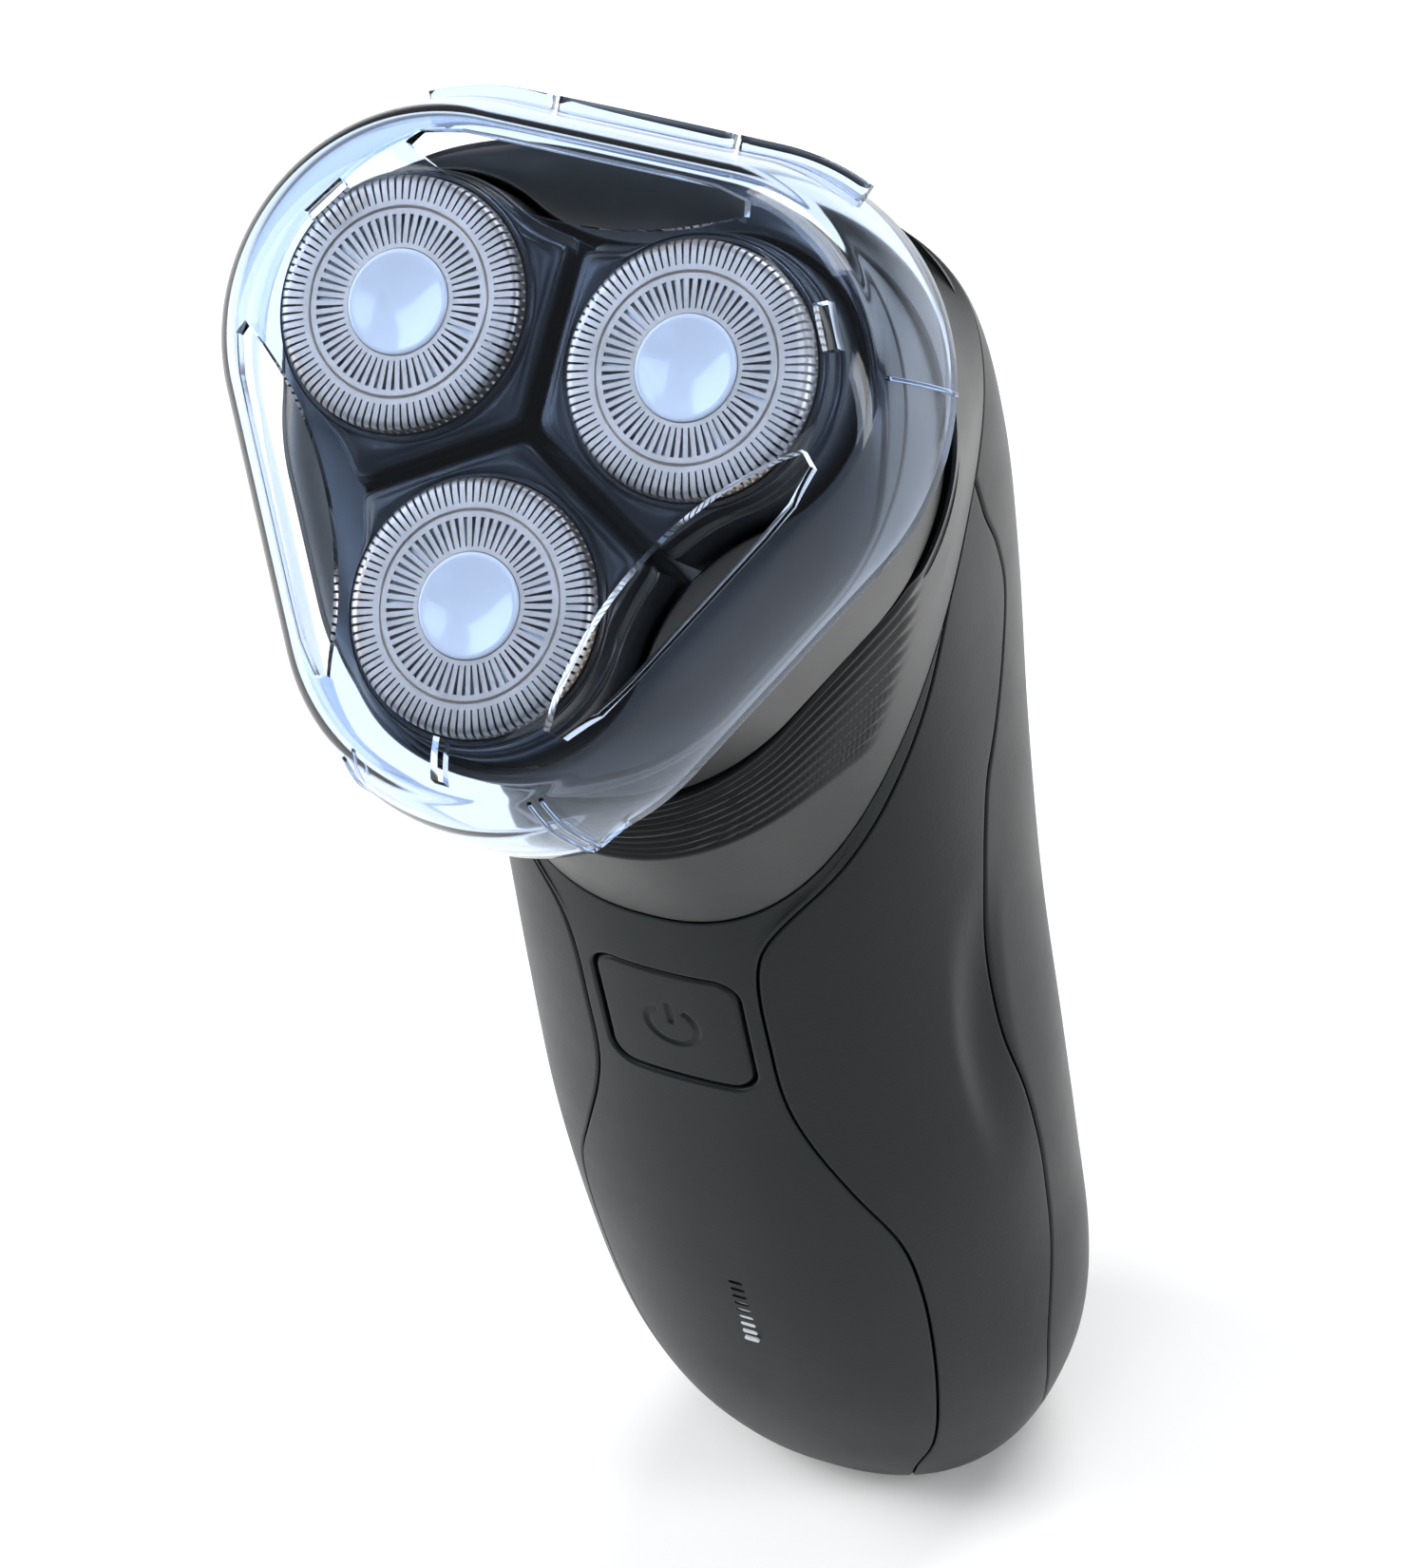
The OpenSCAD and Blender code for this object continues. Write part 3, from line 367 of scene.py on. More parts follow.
def shell_sheet(bm, first, last, across, up):
    """Outer skin between two seams, from the foot to the collar, with rounded edges."""
    tops = {}

    def place(u, v):
        t = crowd(u)
        if u not in tops:
            tops[u] = collar(lambda z: seam_turn(z, first) + (seam_turn(z, last) - seam_turn(z, first)) * t)
        z = (tops[u] - seam_gap / 2) * crowd(v)
        start, end = seam_turn(z, first), seam_turn(z, last)
        width = math.radians(end - start) * (skin(z, 90).x * 0.95)
        turn = start + (end - start) * (seam_gap / 2 + (width - seam_gap) * t) / width
        sunk = edge_drop(width * min(t, 1 - t), seam_round)
        sunk = max(sunk, edge_drop((tops[u] - z) * 0.8, seam_round), edge_drop(z, 0.6))
        return skin(z, turn, sunk)

    sheet(bm, across, up, place)


# Front panel: the button's hole and nine slots for the charge bars are cut through it.
button_w = 13.8
button_h = 14.2
button_gap = 0.35
button_corner = 2.2
button_z = collar_z - 14.2
hole_round = 0.4
led_z = 38.0
led_pitch = 1.15
led_w = 1.5
led_h = 0.5
led_bars = 9


def square_reach(turn, wide, tall, corner):
    """Distance from the middle of a rectangle with round corners to its edge at an angle."""
    c, s = abs(math.cos(turn)), abs(math.sin(turn))
    x, y = wide / 2 - corner, tall / 2 - corner
    flat = min(wide / 2 / max(c, 1e-9), tall / 2 / max(s, 1e-9))
    if flat * s <= y or flat * c <= x:
        return flat
    along_ray = x * c + y * s
    return along_ray + math.sqrt(max(corner**2 - (x * s - y * c) ** 2, 0))


def on_front(x, z, sunk=0.0):
    """Point of the handle's front at x and z, sunk straight back."""
    half = half_handle * along(PROFILE, z / handle_len, 3)
    turn = math.degrees(math.asin(signed_power(x / half, skin_power / 2)))
    return Vector((x, skin(z, turn).y + sunk, z))


def front_prism(bm, wide, tall, corner, z, steps):
    """Closed prism through the front, for cutting."""
    ring = bmesh.ops.create_circle(bm, cap_ends=True, segments=steps, radius=1)["verts"]
    for v in ring:
        turn = math.atan2(v.co.y, v.co.x)
        reach = square_reach(turn, wide, tall, corner)
        v.co = Vector((reach * math.cos(turn), -front_reach - 5, z + reach * math.sin(turn)))
    face = ring[0].link_faces[0]
    made = bmesh.ops.extrude_face_region(bm, geom=[face])["geom"]
    bmesh.ops.translate(bm, vec=(0, 20, 0), verts=[g for g in made if isinstance(g, bmesh.types.BMVert)])


def loose_object(name, bm):
    """A mesh object used only to cut another, in metres."""
    bmesh.ops.scale(bm, vec=(0.001, 0.001, 0.001), verts=bm.verts)
    bmesh.ops.recalc_face_normals(bm, faces=bm.faces)
    mesh = bpy.data.meshes.new(name)
    bm.to_mesh(mesh)
    bm.free()
    made = bpy.data.objects.new(name, mesh)
    bpy.context.scene.collection.objects.link(made)
    return made


bm = bmesh.new()
shell_sheet(bm, 0, 1, 72, 150)
front_panel = add_piece("front_panel_skin", bm, [soft_black], "handle", ["front_panel"])
add_wall(front_panel, shell_wall)
bm = bmesh.new()
lip_reach = 0.9
hole_w = button_w + 2 * button_gap
hole_h = button_h + 2 * button_gap
front_prism(bm, hole_w + 2 * lip_reach, hole_h + 2 * lip_reach, button_corner + button_gap + lip_reach,
            button_z, 96)
for k in range(led_bars):
    front_prism(bm, led_w, led_h, led_h / 2 - 0.01, led_z + (k - (led_bars - 1) / 2) * led_pitch, 24)
cut_with(front_panel, loose_object("panel_cutter", bm))

# The hole's lip is rolled over into the wall.
bm = bmesh.new()


def lip(u, v):
    turn = 2 * math.pi * u
    out = lip_reach * (1 - v / 0.7) ** 1.6 if v < 0.7 else 0.0
    sunk = edge_drop(out, hole_round) if v < 0.7 else hole_round + (shell_wall - hole_round) * (v - 0.7) / 0.3
    reach = square_reach(turn, hole_w + 2 * out, hole_h + 2 * out, button_corner + button_gap + out)
    return on_front(reach * math.cos(turn), button_z + reach * math.sin(turn), sunk)


sheet(bm, 144, 20, lip, closed=True)
lip_piece = add_piece("button_hole_lip", bm, [soft_black], "handle")
smooth(lip_piece)

for name, first, last, body_finish, slot, across in (
        ("grip_right", 1, 2, grip_black, "grip_black", 60),
        ("grip_left", 3, 4, grip_black, "grip_black", 60),
        ("back_shell", 2, 3, shell_black, "shell_black", 110)):
    bm = bmesh.new()
    shell_sheet(bm, first, last, across, 150)
    shell = add_piece(name + "_skin", bm, [body_finish], "handle", [name])
    add_wall(shell, shell_wall)
    settle(shell)

# ---- Power button ----------------------------------------------------------------------------
# Soft-touch cap with the standby symbol pressed into it, and a short side that sinks into the hole.
button_round = 0.45
symbol_r = 2.45
symbol_line = 0.27
symbol_depth = 0.22


def symbol_sunk(x, z):
    """Depth of the open ring and the bar of the standby symbol."""
    r = math.hypot(x, z)
    gap = abs(math.degrees(math.atan2(x, z)))
    ring = ramp(symbol_line * 1.5 - abs(r - symbol_r), 0, symbol_line) * ramp(gap, 30, 36)
    bar = ramp(symbol_line * 1.5 - abs(x), 0, symbol_line) * ramp(z, 0.1, 0.4) * ramp(3.1 - z, 0, 0.3)
    return symbol_depth * max(ring, bar)


def button_top(u, v):
    turn = 2 * math.pi * u
    edge = square_reach(turn, button_w, button_h, button_corner)
    share = min(v / 0.9, 1.0)
    reach = edge * (1 - (1 - share) ** 1.35)
    x, z = reach * math.cos(turn), reach * math.sin(turn)
    side = max(v - 0.9, 0.0) / 0.1 * 1.6
    return on_front(x, button_z + z, 0.12 + edge_drop(edge - reach, button_round) + symbol_sunk(x, z) + side)


bm = bmesh.new()
sheet(bm, 180, 80, lambda u, v: button_top(u, 1 - v), closed=True)
button = add_piece("power_button_cap", bm, [soft_black], "power_button", ["power_button"])
smooth(button, 60)

# ---- Neck --------------------------------------------------------------------------------
# Moulded ABS neck between the slanted collar and the head, with fanned grip grooves in front.
head_tilt = math.radians(35)
face_centre = Vector((0.0, -22.0, 158.0))
foil_r = 10.6
foil_pitch = (foil_r + 2.43) * 2 / math.sqrt(3)
head_corner = foil_pitch + foil_r + 2.85
head_side = head_corner - 3.3
chamber_floor = 26.8
neck_top = chamber_floor + 0.3
groove_count = 10
groove_depth = 0.45
neck_wall = 1.5
on_head = Matrix.Translation(face_centre) @ Matrix.Rotation(head_tilt, 4, "X")


def triangle_reach(corner, side, turn):
    """Reach of a triangle with big round corners, at an angle of the head."""
    q = 2 * (corner - side)
    r = corner - q
    e = abs(turn - round((turn - 30) / 120) * 120 - 30)
    if side * math.tan(math.radians(60 - e)) < q * math.sin(math.radians(60)):
        return side / math.cos(math.radians(60 - e))
    e = math.radians(e)
    return q * math.cos(e) + math.sqrt(r**2 - (q * math.sin(e)) ** 2)


def head_ring(corner, side, turn, depth):
    """Point of such a triangle in the head's own frame."""
    reach = triangle_reach(corner, side, turn)
    a = math.radians(turn)
    return Vector((reach * math.cos(a), reach * math.sin(a), -depth))


collar_heights = {}


def neck_skin(turn, share, sunk=0.0):
    """Point of the neck at an angle from the front; share runs from the collar to the head."""
    if turn not in collar_heights:
        collar_heights[turn] = collar(lambda z: turn)
    low = skin(collar_heights[turn], turn) + Vector((0, 0, seam_gap / 2))
    top = on_head @ head_ring(head_corner - 0.4 - sunk, head_side - 0.6 - sunk, turn - 90, neck_top)
    rise = 1 - (1 - share) ** 1.5
    return low + (top - low) * rise - Vector((0, 0, 5 * share * (1 - share) ** 1.5))


def groove(turn, share):
    """Depth of the fanned grooves, which close up towards the sides."""
    side = abs(turn if turn <= 180 else turn - 360)
    if side > 90:
        return 0.0
    spread = 0.5 + 0.62 * (side / 76) ** 4
    phase = (groove_count - 1) * max((1 - share) / spread, 0) ** 1.25
    k = min(round(phase), groove_count - 1)
    cut = math.cos(math.pi * min(abs(phase - k) / 0.5, 1)) * 0.5 + 0.5
    return groove_depth * cut * ramp(86 - 24 * k / (groove_count - 1) - side, 0, 5)


neck_black = plastic("neck_black", (0.0045, 0.0058, 0.0066), (0.007, 0.0082, 0.0092), 0.36, 0.08,
                     2400.0, 0.18, Specular_IOR_Level=0.3)


def neck_place(u, v):
    turn = 360 * u
    point = neck_skin(turn, v)
    centre = Vector((0, (front_reach - back_reach) * -0.15, point.z))
    inward = (centre - point).normalized()
    return point + inward * (groove(turn, v) + edge_drop((1 - v) * 22, 0.4) + edge_drop(v * 22, seam_round))


bm = bmesh.new()
sheet(bm, 288, 132, neck_place, closed=True)
neck = add_piece("neck_skin", bm, [neck_black], "handle", ["neck_housing"])
add_wall(neck, neck_wall)
settle(neck, 50)

# ---- Shaving unit ------------------------------------------------------------------------
# Gloss-black chamber that catches the hair, with a floor pierced for the three spindles, and
# the deck clipped on top of it around the pods.
chamber_top = 13.0
chamber_lean = 1.1
chamber_wall = 1.4
bead_round = 0.8
spindle_opening = 3.8
pod_angles = (150, 30, -90)
head_black = plastic("head_black", (0.0040, 0.0046, 0.0052), (0.006, 0.0068, 0.0076), 0.28, 0.08,
                     2800.0, 0.10, Specular_IOR_Level=0.4)


def chamber_place(u, v):
    """Side wall, rounded lower bead and floor, in one sheet."""
    turn = 360 * u
    if v < 0.6:
        t = v / 0.6
        depth = chamber_top + 0.05 + (chamber_floor - bead_round - chamber_top - 0.05) * t
        inset = chamber_lean * t + edge_drop(depth - chamber_top, 0.3)
        return head_ring(head_corner - inset, head_side - inset * 0.6, turn, depth)
    if v < 0.85:
        a = math.pi / 2 * (v - 0.6) / 0.25
        inset = chamber_lean + bead_round * (1 - math.cos(a))
        return head_ring(head_corner - inset, head_side - chamber_lean * 0.6 - inset + chamber_lean, turn,
                         chamber_floor - bead_round * (1 - math.sin(a)))
    share = 1 - (v - 0.85) / 0.15
    inset = chamber_lean + bead_round
    return head_ring((head_corner - inset) * share, (head_side - chamber_lean * 0.6 - bead_round) * share,
                     turn, chamber_floor)


bm = bmesh.new()
sheet(bm, 192, 80, chamber_place, closed=True)
bmesh.ops.recalc_face_normals(bm, faces=bm.faces)
bmesh.ops.transform(bm, matrix=on_head, verts=bm.verts)
chamber = add_piece("hair_chamber_shell", bm, [head_black], "shaving_unit", ["hair_chamber"])
add_wall(chamber, chamber_wall)
bm = bmesh.new()
for angle in pod_angles:
    hole = bmesh.ops.create_cone(bm, cap_ends=True, segments=40, radius1=spindle_opening,
                                 radius2=spindle_opening, depth=8)["verts"]
    a = math.radians(angle)
    bmesh.ops.translate(bm, verts=hole,
                        vec=(foil_pitch * math.cos(a), foil_pitch * math.sin(a), -chamber_floor))
bmesh.ops.transform(bm, matrix=on_head, verts=bm.verts)
cut_with(chamber, loose_object("chamber_cutter", bm))

# Deck: a soft crest runs round the pods, and the surface falls away to the rim.
deck_crest = 8.25
pod_r = foil_r + 0.75
pod_waist = foil_pitch + 0.25
pod_skirt = 0.5
waist_skirt = 0.9
deck_clear = 0.6
deck_wall = 0.8


def clover_reach(r, waist, turn):
    """Reach of three circles around the foils, blended by hollow arcs down to a waist."""
    m = r - waist
    d = (foil_pitch**2 - m**2) / (foil_pitch + 2 * m)
    blend = d - waist
    e = abs(turn - round((turn - 30) / 120) * 120 - 30)
    aim_at = math.atan2(d * math.sin(math.radians(60)), d * 0.5 - foil_pitch)
    meet = math.degrees(math.atan2(r * math.sin(aim_at), foil_pitch + r * math.cos(aim_at)))
    if e < meet:
        e = math.radians(e)
        return foil_pitch * math.cos(e) + math.sqrt(r**2 - (foil_pitch * math.sin(e)) ** 2)
    e = math.radians(60 - e)
    return d * math.cos(e) - math.sqrt(blend**2 - (d * math.sin(e)) ** 2)


def deck_place(u, v):
    turn = 360 * u
    a = math.radians(turn)
    inner = clover_reach(pod_r + pod_skirt + deck_clear, pod_waist + waist_skirt + deck_clear, turn)
    outer = triangle_reach(head_corner - 0.15, head_side - 0.05, turn)
    if v < 0.2:
        reach, depth = inner, 12.0 - (12.0 - deck_crest - 0.3) * v / 0.2
    elif v < 0.32:
        b = math.pi / 2 * (v - 0.2) / 0.12
        reach, depth = inner + 0.3 * (1 - math.cos(b)), deck_crest + 0.3 * (1 - math.sin(b))
    elif v < 0.85:
        t = (v - 0.32) / 0.53
        reach = inner + 0.3 + (outer - inner - 0.8) * t
        depth = deck_crest + (0.55 * t + 2.7 * t**2.2) * ramp(outer - inner, 0.6, 5.0) + 0.3 * t
    else:
        b = math.pi / 2 * min((v - 0.85) / 0.1, 1)
        low = deck_crest + 3.25 * ramp(outer - inner, 0.6, 5.0) + 0.3
        reach = outer - 0.5 + 0.5 * math.sin(b)
        depth = low + 0.5 * (1 - math.cos(b))
        if v > 0.95:
            depth += (chamber_top - 0.05 - depth) * (v - 0.95) / 0.05
    return Vector((reach * math.cos(a), reach * math.sin(a), -depth))


bm = bmesh.new()
sheet(bm, 240, 60, deck_place, closed=True)
bmesh.ops.reverse_faces(bm, faces=bm.faces)
bmesh.ops.transform(bm, matrix=on_head, verts=bm.verts)
deck = add_piece("head_deck_skin", bm, [head_black], "shaving_unit", ["head_deck"])
add_wall(deck, deck_wall)
settle(deck, 50)

# ---- Pods ---------------------------------------------------------------------------------
# Three sprung petals that carry the foils. Each has a narrow lip, a softly crowned top, a
# rounded shoulder and a shallow step down its side.
pod_gap = 1.2
pod_floor = 11.0
lip_w = 0.45
shoulder_round = 0.8


def petal_reach(turn, r, waist):
    """Distance from the foil's centre to the petal's outline, for the pod that points along +X."""
    dx, dy = math.cos(turn), math.sin(turn)
    reaches = []
    for side in (1, -1):
        fall = dx * math.sin(math.radians(60)) - side * dy * 0.5
        if fall < -1e-6:
            reaches.append((foil_pitch * math.sin(math.radians(60)) - pod_gap / 2) / -fall)
    low, high = 0.0, 2 * foil_pitch
    for _ in range(20):
        t = (low + high) / 2
        x, y = foil_pitch + t * dx, t * dy
        if math.hypot(x, y) < clover_reach(r, waist, math.degrees(math.atan2(y, x)) + 30):
            low = t
        else:
            high = t
    reaches.append(low)
    return sum(t**-34 for t in reaches) ** (-1 / 34)


pod_steps = 168
petal_edges = [(petal_reach(2 * math.pi * k / pod_steps, pod_r, pod_waist),
                petal_reach(2 * math.pi * k / pod_steps, pod_r + pod_skirt, pod_waist + waist_skirt))
               for k in range(pod_steps)]


def pod_place(u, v):
    """Closed loop down the bore, over the lip and crown, and down the stepped side."""
    turn = 2 * math.pi * u
    top_edge, low_edge = petal_edges[round(u * pod_steps) % pod_steps]
    lip_in, lip_out = foil_r + 0.06, foil_r + 0.06 + lip_w
    stops = [(9.5, pod_floor), (9.5, 3.3), (lip_in, 3.15), (lip_in, 1.72), (lip_in + 0.1, 1.56),
             (lip_out - 0.1, 1.56), (lip_out, 1.66), (lip_out + 0.12, 1.78)]
    room = max(top_edge - shoulder_round - lip_out - 0.15, 0.02)
    for k in range(1, 9):
        t = k / 8
        stops.append((lip_out + 0.12 + room * t, 1.78 - 0.12 * math.sin(math.pi * t) + 0.12 * room * t * t))
    low = 1.78 + 0.12 * room
    shoulder = min(shoulder_round, max(top_edge - lip_out - 0.15, 0.2))
    for k in range(1, 7):
        b = math.pi / 2 * k / 6
        stops.append((top_edge - shoulder * (1 - math.sin(b)), low + shoulder * (1 - math.cos(b))))
    stops += [(top_edge, 3.5), (top_edge, 3.85), (top_edge + 0.08, 4.1)]
    for k in range(5):
        b = math.pi / 2 * k / 4
        stops.append((low_edge - 0.3 * (1 - math.sin(b)), 4.2 + 0.3 * (1 - math.cos(b))))
    stops += [(low_edge, 6.5), (low_edge, 9.0), (low_edge, pod_floor - 0.25),
              (low_edge - 0.25, pod_floor), (9.5, pod_floor)]
    at = v * (len(stops) - 1)
    k = min(int(at), len(stops) - 2)
    reach = stops[k][0] + (stops[k + 1][0] - stops[k][0]) * (at - k)
    depth = stops[k][1] + (stops[k + 1][1] - stops[k][1]) * (at - k)
    return Vector((foil_pitch + reach * math.cos(turn), reach * math.sin(turn), -depth))


pod_rows = 34
for i, angle in enumerate(pod_angles, 1):
    bm = bmesh.new()
    sheet(bm, pod_steps, pod_rows, pod_place, closed=True)
    bmesh.ops.recalc_face_normals(bm, faces=bm.faces)
    bmesh.ops.rotate(bm, verts=bm.verts, matrix=Matrix.Rotation(math.radians(angle), 3, "Z"), cent=(0, 0, 0))
    bmesh.ops.transform(bm, matrix=on_head, verts=bm.verts)
    pod = add_piece(f"pod_{i}_petal", bm, [head_black], f"pod_{i}", [f"pod_{i}"])
    smooth(pod, 40)

# ---- Foils --------------------------------------------------------------------------------
# Dished stainless foils: an inner and an outer track of fine radial slots in 0.3 mm sheet, with
# a plain grooved band between. The outer slots run over the rounded edge.
foil_t = 0.3
foil_h = 3.0
disc_r = 4.4
inner_track = (4.85, 7.25)
outer_track = (8.45, 10.6)
inner_bars = 58
outer_bars = 92
inner_bar_w = 0.44
outer_bar_w = 0.47


def steel_group():
    """Ground steel: fine rings or streaks in tone and gloss, with a little tarnish."""
    group = finish_group("steel_finish", {
        "Colour": (0.6, 0.57, 0.53, 1), "Dull colour": (0.4, 0.38, 0.36, 1), "Gloss": 0.25,
        "Gloss change": 0.15, "Streak scale": 900.0})
    nodes, links = group.nodes, group.links
    given, out = nodes.new("NodeGroupInput"), nodes.new("NodeGroupOutput")
    coord = nodes.new("ShaderNodeTexCoord")
    fine = nodes.new("ShaderNodeTexNoise")
    fine.inputs["Detail"].default_value = 3.0
    blot = nodes.new("ShaderNodeTexNoise")
    blot.inputs["Scale"].default_value = 160.0
    blot.inputs["Detail"].default_value = 4.0
    mask = nodes.new("ShaderNodeMapRange")
    mask.inputs["From Min"].default_value = 0.4
    mask.inputs["From Max"].default_value = 0.72
    tone = nodes.new("ShaderNodeMix")
    tone.data_type = "RGBA"
    change = nodes.new("ShaderNodeMath")
    change.operation = "MULTIPLY_ADD"
    lift = nodes.new("ShaderNodeBump")
    lift.inputs["Strength"].default_value = 0.12
    lift.inputs["Distance"].default_value = 0.00004
    links.new(coord.outputs["Object"], fine.inputs["Vector"])
    links.new(coord.outputs["Object"], blot.inputs["Vector"])
    links.new(given.outputs["Streak scale"], fine.inputs["Scale"])
    links.new(blot.outputs["Fac"], mask.inputs["Value"])
    links.new(mask.outputs["Result"], tone.inputs["Factor"])
    links.new(given.outputs["Colour"], tone.inputs["A"])
    links.new(given.outputs["Dull colour"], tone.inputs["B"])
    links.new(fine.outputs["Fac"], change.inputs[0])
    links.new(given.outputs["Gloss change"], change.inputs[1])
    links.new(given.outputs["Gloss"], change.inputs[2])
    links.new(fine.outputs["Fac"], lift.inputs["Height"])
    links.new(tone.outputs["Result"], out.inputs["Colour"])
    links.new(change.outputs["Value"], out.inputs["Roughness"])
    links.new(lift.outputs["Normal"], out.inputs["Normal"])
    return group


steel_finish = steel_group()


def steel(name, colour, dull, gloss, change=0.12, streak=900.0):
    """A bare metal with ground streaks and a little tarnish."""
    material = with_finish(name, steel_finish, {
        "Colour": (*colour, 1), "Dull colour": (*dull, 1), "Gloss": gloss, "Gloss change": change,
        "Streak scale": streak})
    material.node_tree.nodes["Principled BSDF"].inputs["Metallic"].default_value = 1.0
    return material


foil_steel = steel("foil_steel", (0.52, 0.43, 0.35), (0.42, 0.35, 0.28), 0.34)


def turned_ring(bm, profile, steps=144):
    """Closed ring turned from a loop of radius and depth points around the head's axis."""
    made = [bm.verts.new((r, 0, -depth)) for r, depth in profile]
    edges = [bm.edges.new((made[k], made[(k + 1) % len(made)])) for k in range(len(made))]
    bmesh.ops.spin(bm, geom=made + edges, cent=(0, 0, 0), axis=(0, 0, 1), angle=2 * math.pi,
                   steps=steps, use_merge=True)


def slot_bars(bm, path, width, count):
    """Evenly spaced radial bars: one is drawn out along a path, then copied around the axis."""
    start = set(bm.verts)
    corners = ((-0.5, 0), (0.5, 0), (0.5, foil_t), (-0.5, foil_t))

    def place(u, v):
        k = round(v * (len(path) - 1))
        r, depth = path[k]
        ahead = path[min(k + 1, len(path) - 1)]
        behind = path[max(k - 1, 0)]
        run = Vector((ahead[0] - behind[0], ahead[1] - behind[1])).normalized()
        side, inner = corners[round(u * 4) % 4]
        return Vector((r - run.y * inner, side * width * (0.75 + 0.25 * r / path[-1][0]),
                       -(depth + run.x * inner)))

    sheet(bm, 4, len(path) - 1, place, closed=True)
    bar = [v for v in bm.verts if v not in start]
    ends = [e for e in {e for v in bar for e in v.link_edges} if e.is_boundary]
    bmesh.ops.holes_fill(bm, edges=ends, sides=4)
    geom = bar + list({e for v in bar for e in v.link_edges}) + list({f for v in bar for f in v.link_faces})
    bmesh.ops.spin(bm, geom=geom, cent=(0, 0, 0), axis=(0, 0, 1), angle=2 * math.pi * (count - 1) / count,
                   steps=count - 1, use_duplicate=True)


def onto_foil(bm, angle):
    """Moves a mesh made round the head's axis to the foil at an angle, and onto the head."""
    a = math.radians(angle)
    bmesh.ops.translate(bm, verts=bm.verts, vec=(foil_pitch * math.cos(a), foil_pitch * math.sin(a), 0))
    bmesh.ops.transform(bm, matrix=on_head, verts=bm.verts)


for i, angle in enumerate(pod_angles, 1):
    bm = bmesh.new()
    turned_ring(bm, [(disc_r + 0.02, foil_t), (disc_r + 0.02, 0.04), (disc_r + 0.07, 0.0),
                     (inner_track[0], 0.0), (inner_track[0], foil_t)])
    mid = (inner_track[1] + outer_track[0]) / 2
    turned_ring(bm, [(inner_track[1], foil_t), (inner_track[1], 0.0), (mid - 0.14, 0.0), (mid, 0.13),
                     (mid + 0.14, 0.0), (outer_track[0], 0.0), (outer_track[0], foil_t)])
    turned_ring(bm, [(outer_track[1], 1.35), (outer_track[1], foil_h), (outer_track[1] - foil_t, foil_h),
                     (outer_track[1] - foil_t, 1.3)], 96)
    slot_bars(bm, [(inner_track[0] - 0.05, 0.01), (inner_track[1] + 0.05, 0.01)], inner_bar_w, inner_bars)
    slot_bars(bm, [(outer_track[0] - 0.05, 0.01), (9.75, 0.01), (10.18, 0.08), (10.42, 0.28),
                   (10.55, 0.6), (outer_track[1], 1.4)], outer_bar_w, outer_bars)
    bmesh.ops.recalc_face_normals(bm, faces=bm.faces)
    onto_foil(bm, angle)
    foil = add_piece(f"foil_{i}_slotted", bm, [foil_steel], f"pod_{i}", [f"foil_{i}"])
    smooth(foil, 35)

# Discs: pearly acetal buttons pressed into the foils, dished inside a raised rim.
disc_white = plastic("disc_pearl", (0.60, 0.56, 0.52), (0.64, 0.60, 0.56), 0.16, 0.04, 900.0, 0.03,
                     Coat_Weight=0.8, Coat_Roughness=0.06)
disc_profile = [(0.0, -0.22), (1.2, -0.20), (2.2, -0.12), (3.0, 0.02), (3.55, 0.15), (3.9, 0.22),
                (4.15, 0.245), (4.32, 0.2), (4.38, 0.1), (4.38, -0.28)]


def disc_place(u, v):
    k = round(v * (len(disc_profile) - 1))
    r, rise = disc_profile[k]
    return Vector((r * math.cos(2 * math.pi * u), r * math.sin(2 * math.pi * u), rise))


for i, angle in enumerate(pod_angles, 1):
    bm = bmesh.new()
    sheet(bm, 72, len(disc_profile) - 1, disc_place, closed=True)
    bmesh.ops.reverse_faces(bm, faces=bm.faces)
    bmesh.ops.holes_fill(bm, edges=[e for e in bm.edges if e.is_boundary], sides=0)
    onto_foil(bm, angle)
    disc = add_piece(f"foil_disc_{i}", bm, [disc_white], f"pod_{i}", [f"foil_cap_{i}"])
    smooth(disc, 60)

# ---- Clear cap ------------------------------------------------------------------------------
# Travel cap moulded in one piece of clear, faintly blue styrene: a flared skirt with a chin tab,
# a rounded rim and a three-armed web across the face, with three long openings.
cap_wall = 1.2
cap_face = 2.4
cap_edge = 12.0
cap_round = 4.0
chin_tab = 4.0
chin_turn = 270
chin_spread = 26
skirt_ease = 1.8
rim_corner = head_corner + 0.7
rim_side = head_side - 2.6
rim_flare = 4.4


def cap_point(turn, depth, inset):
    """Point of the cap's outside at a depth, drawn in towards the axis by an inset."""
    ease = ((cap_edge - depth) / (cap_edge + cap_face)) ** skirt_ease if depth < cap_edge else 0.0
    corner = rim_corner + rim_flare * (1 - ease) - inset
    side = rim_side + rim_flare * (1 - ease) - inset
    return head_ring(corner, side, turn, depth)


def cap_place(u, v):
    """Skirt with its chin tab up to 0.45, then the rounded rim up to 0.7, then the flat face."""
    turn = 360 * u
    tab = chin_tab * min(1, 3 * bump((turn - chin_turn) / chin_spread))
    if v < 0.45:
        t = v / 0.45
        depth = cap_edge + (cap_round - cap_face - cap_edge) * t
        point = cap_point(turn, depth, 0)
        point.z -= tab * max(1 - t / 0.5, 0)
        return point
    if v < 0.7:
        a = math.pi / 2 * (v - 0.45) / 0.25
        return cap_point(turn, cap_round - cap_face - cap_round * math.sin(a), cap_round * (1 - math.cos(a)))
    edge = cap_point(turn, -cap_face, cap_round)
    share = 1 - (v - 0.7) / 0.3
    return Vector((edge.x * share, edge.y * share, edge.z))


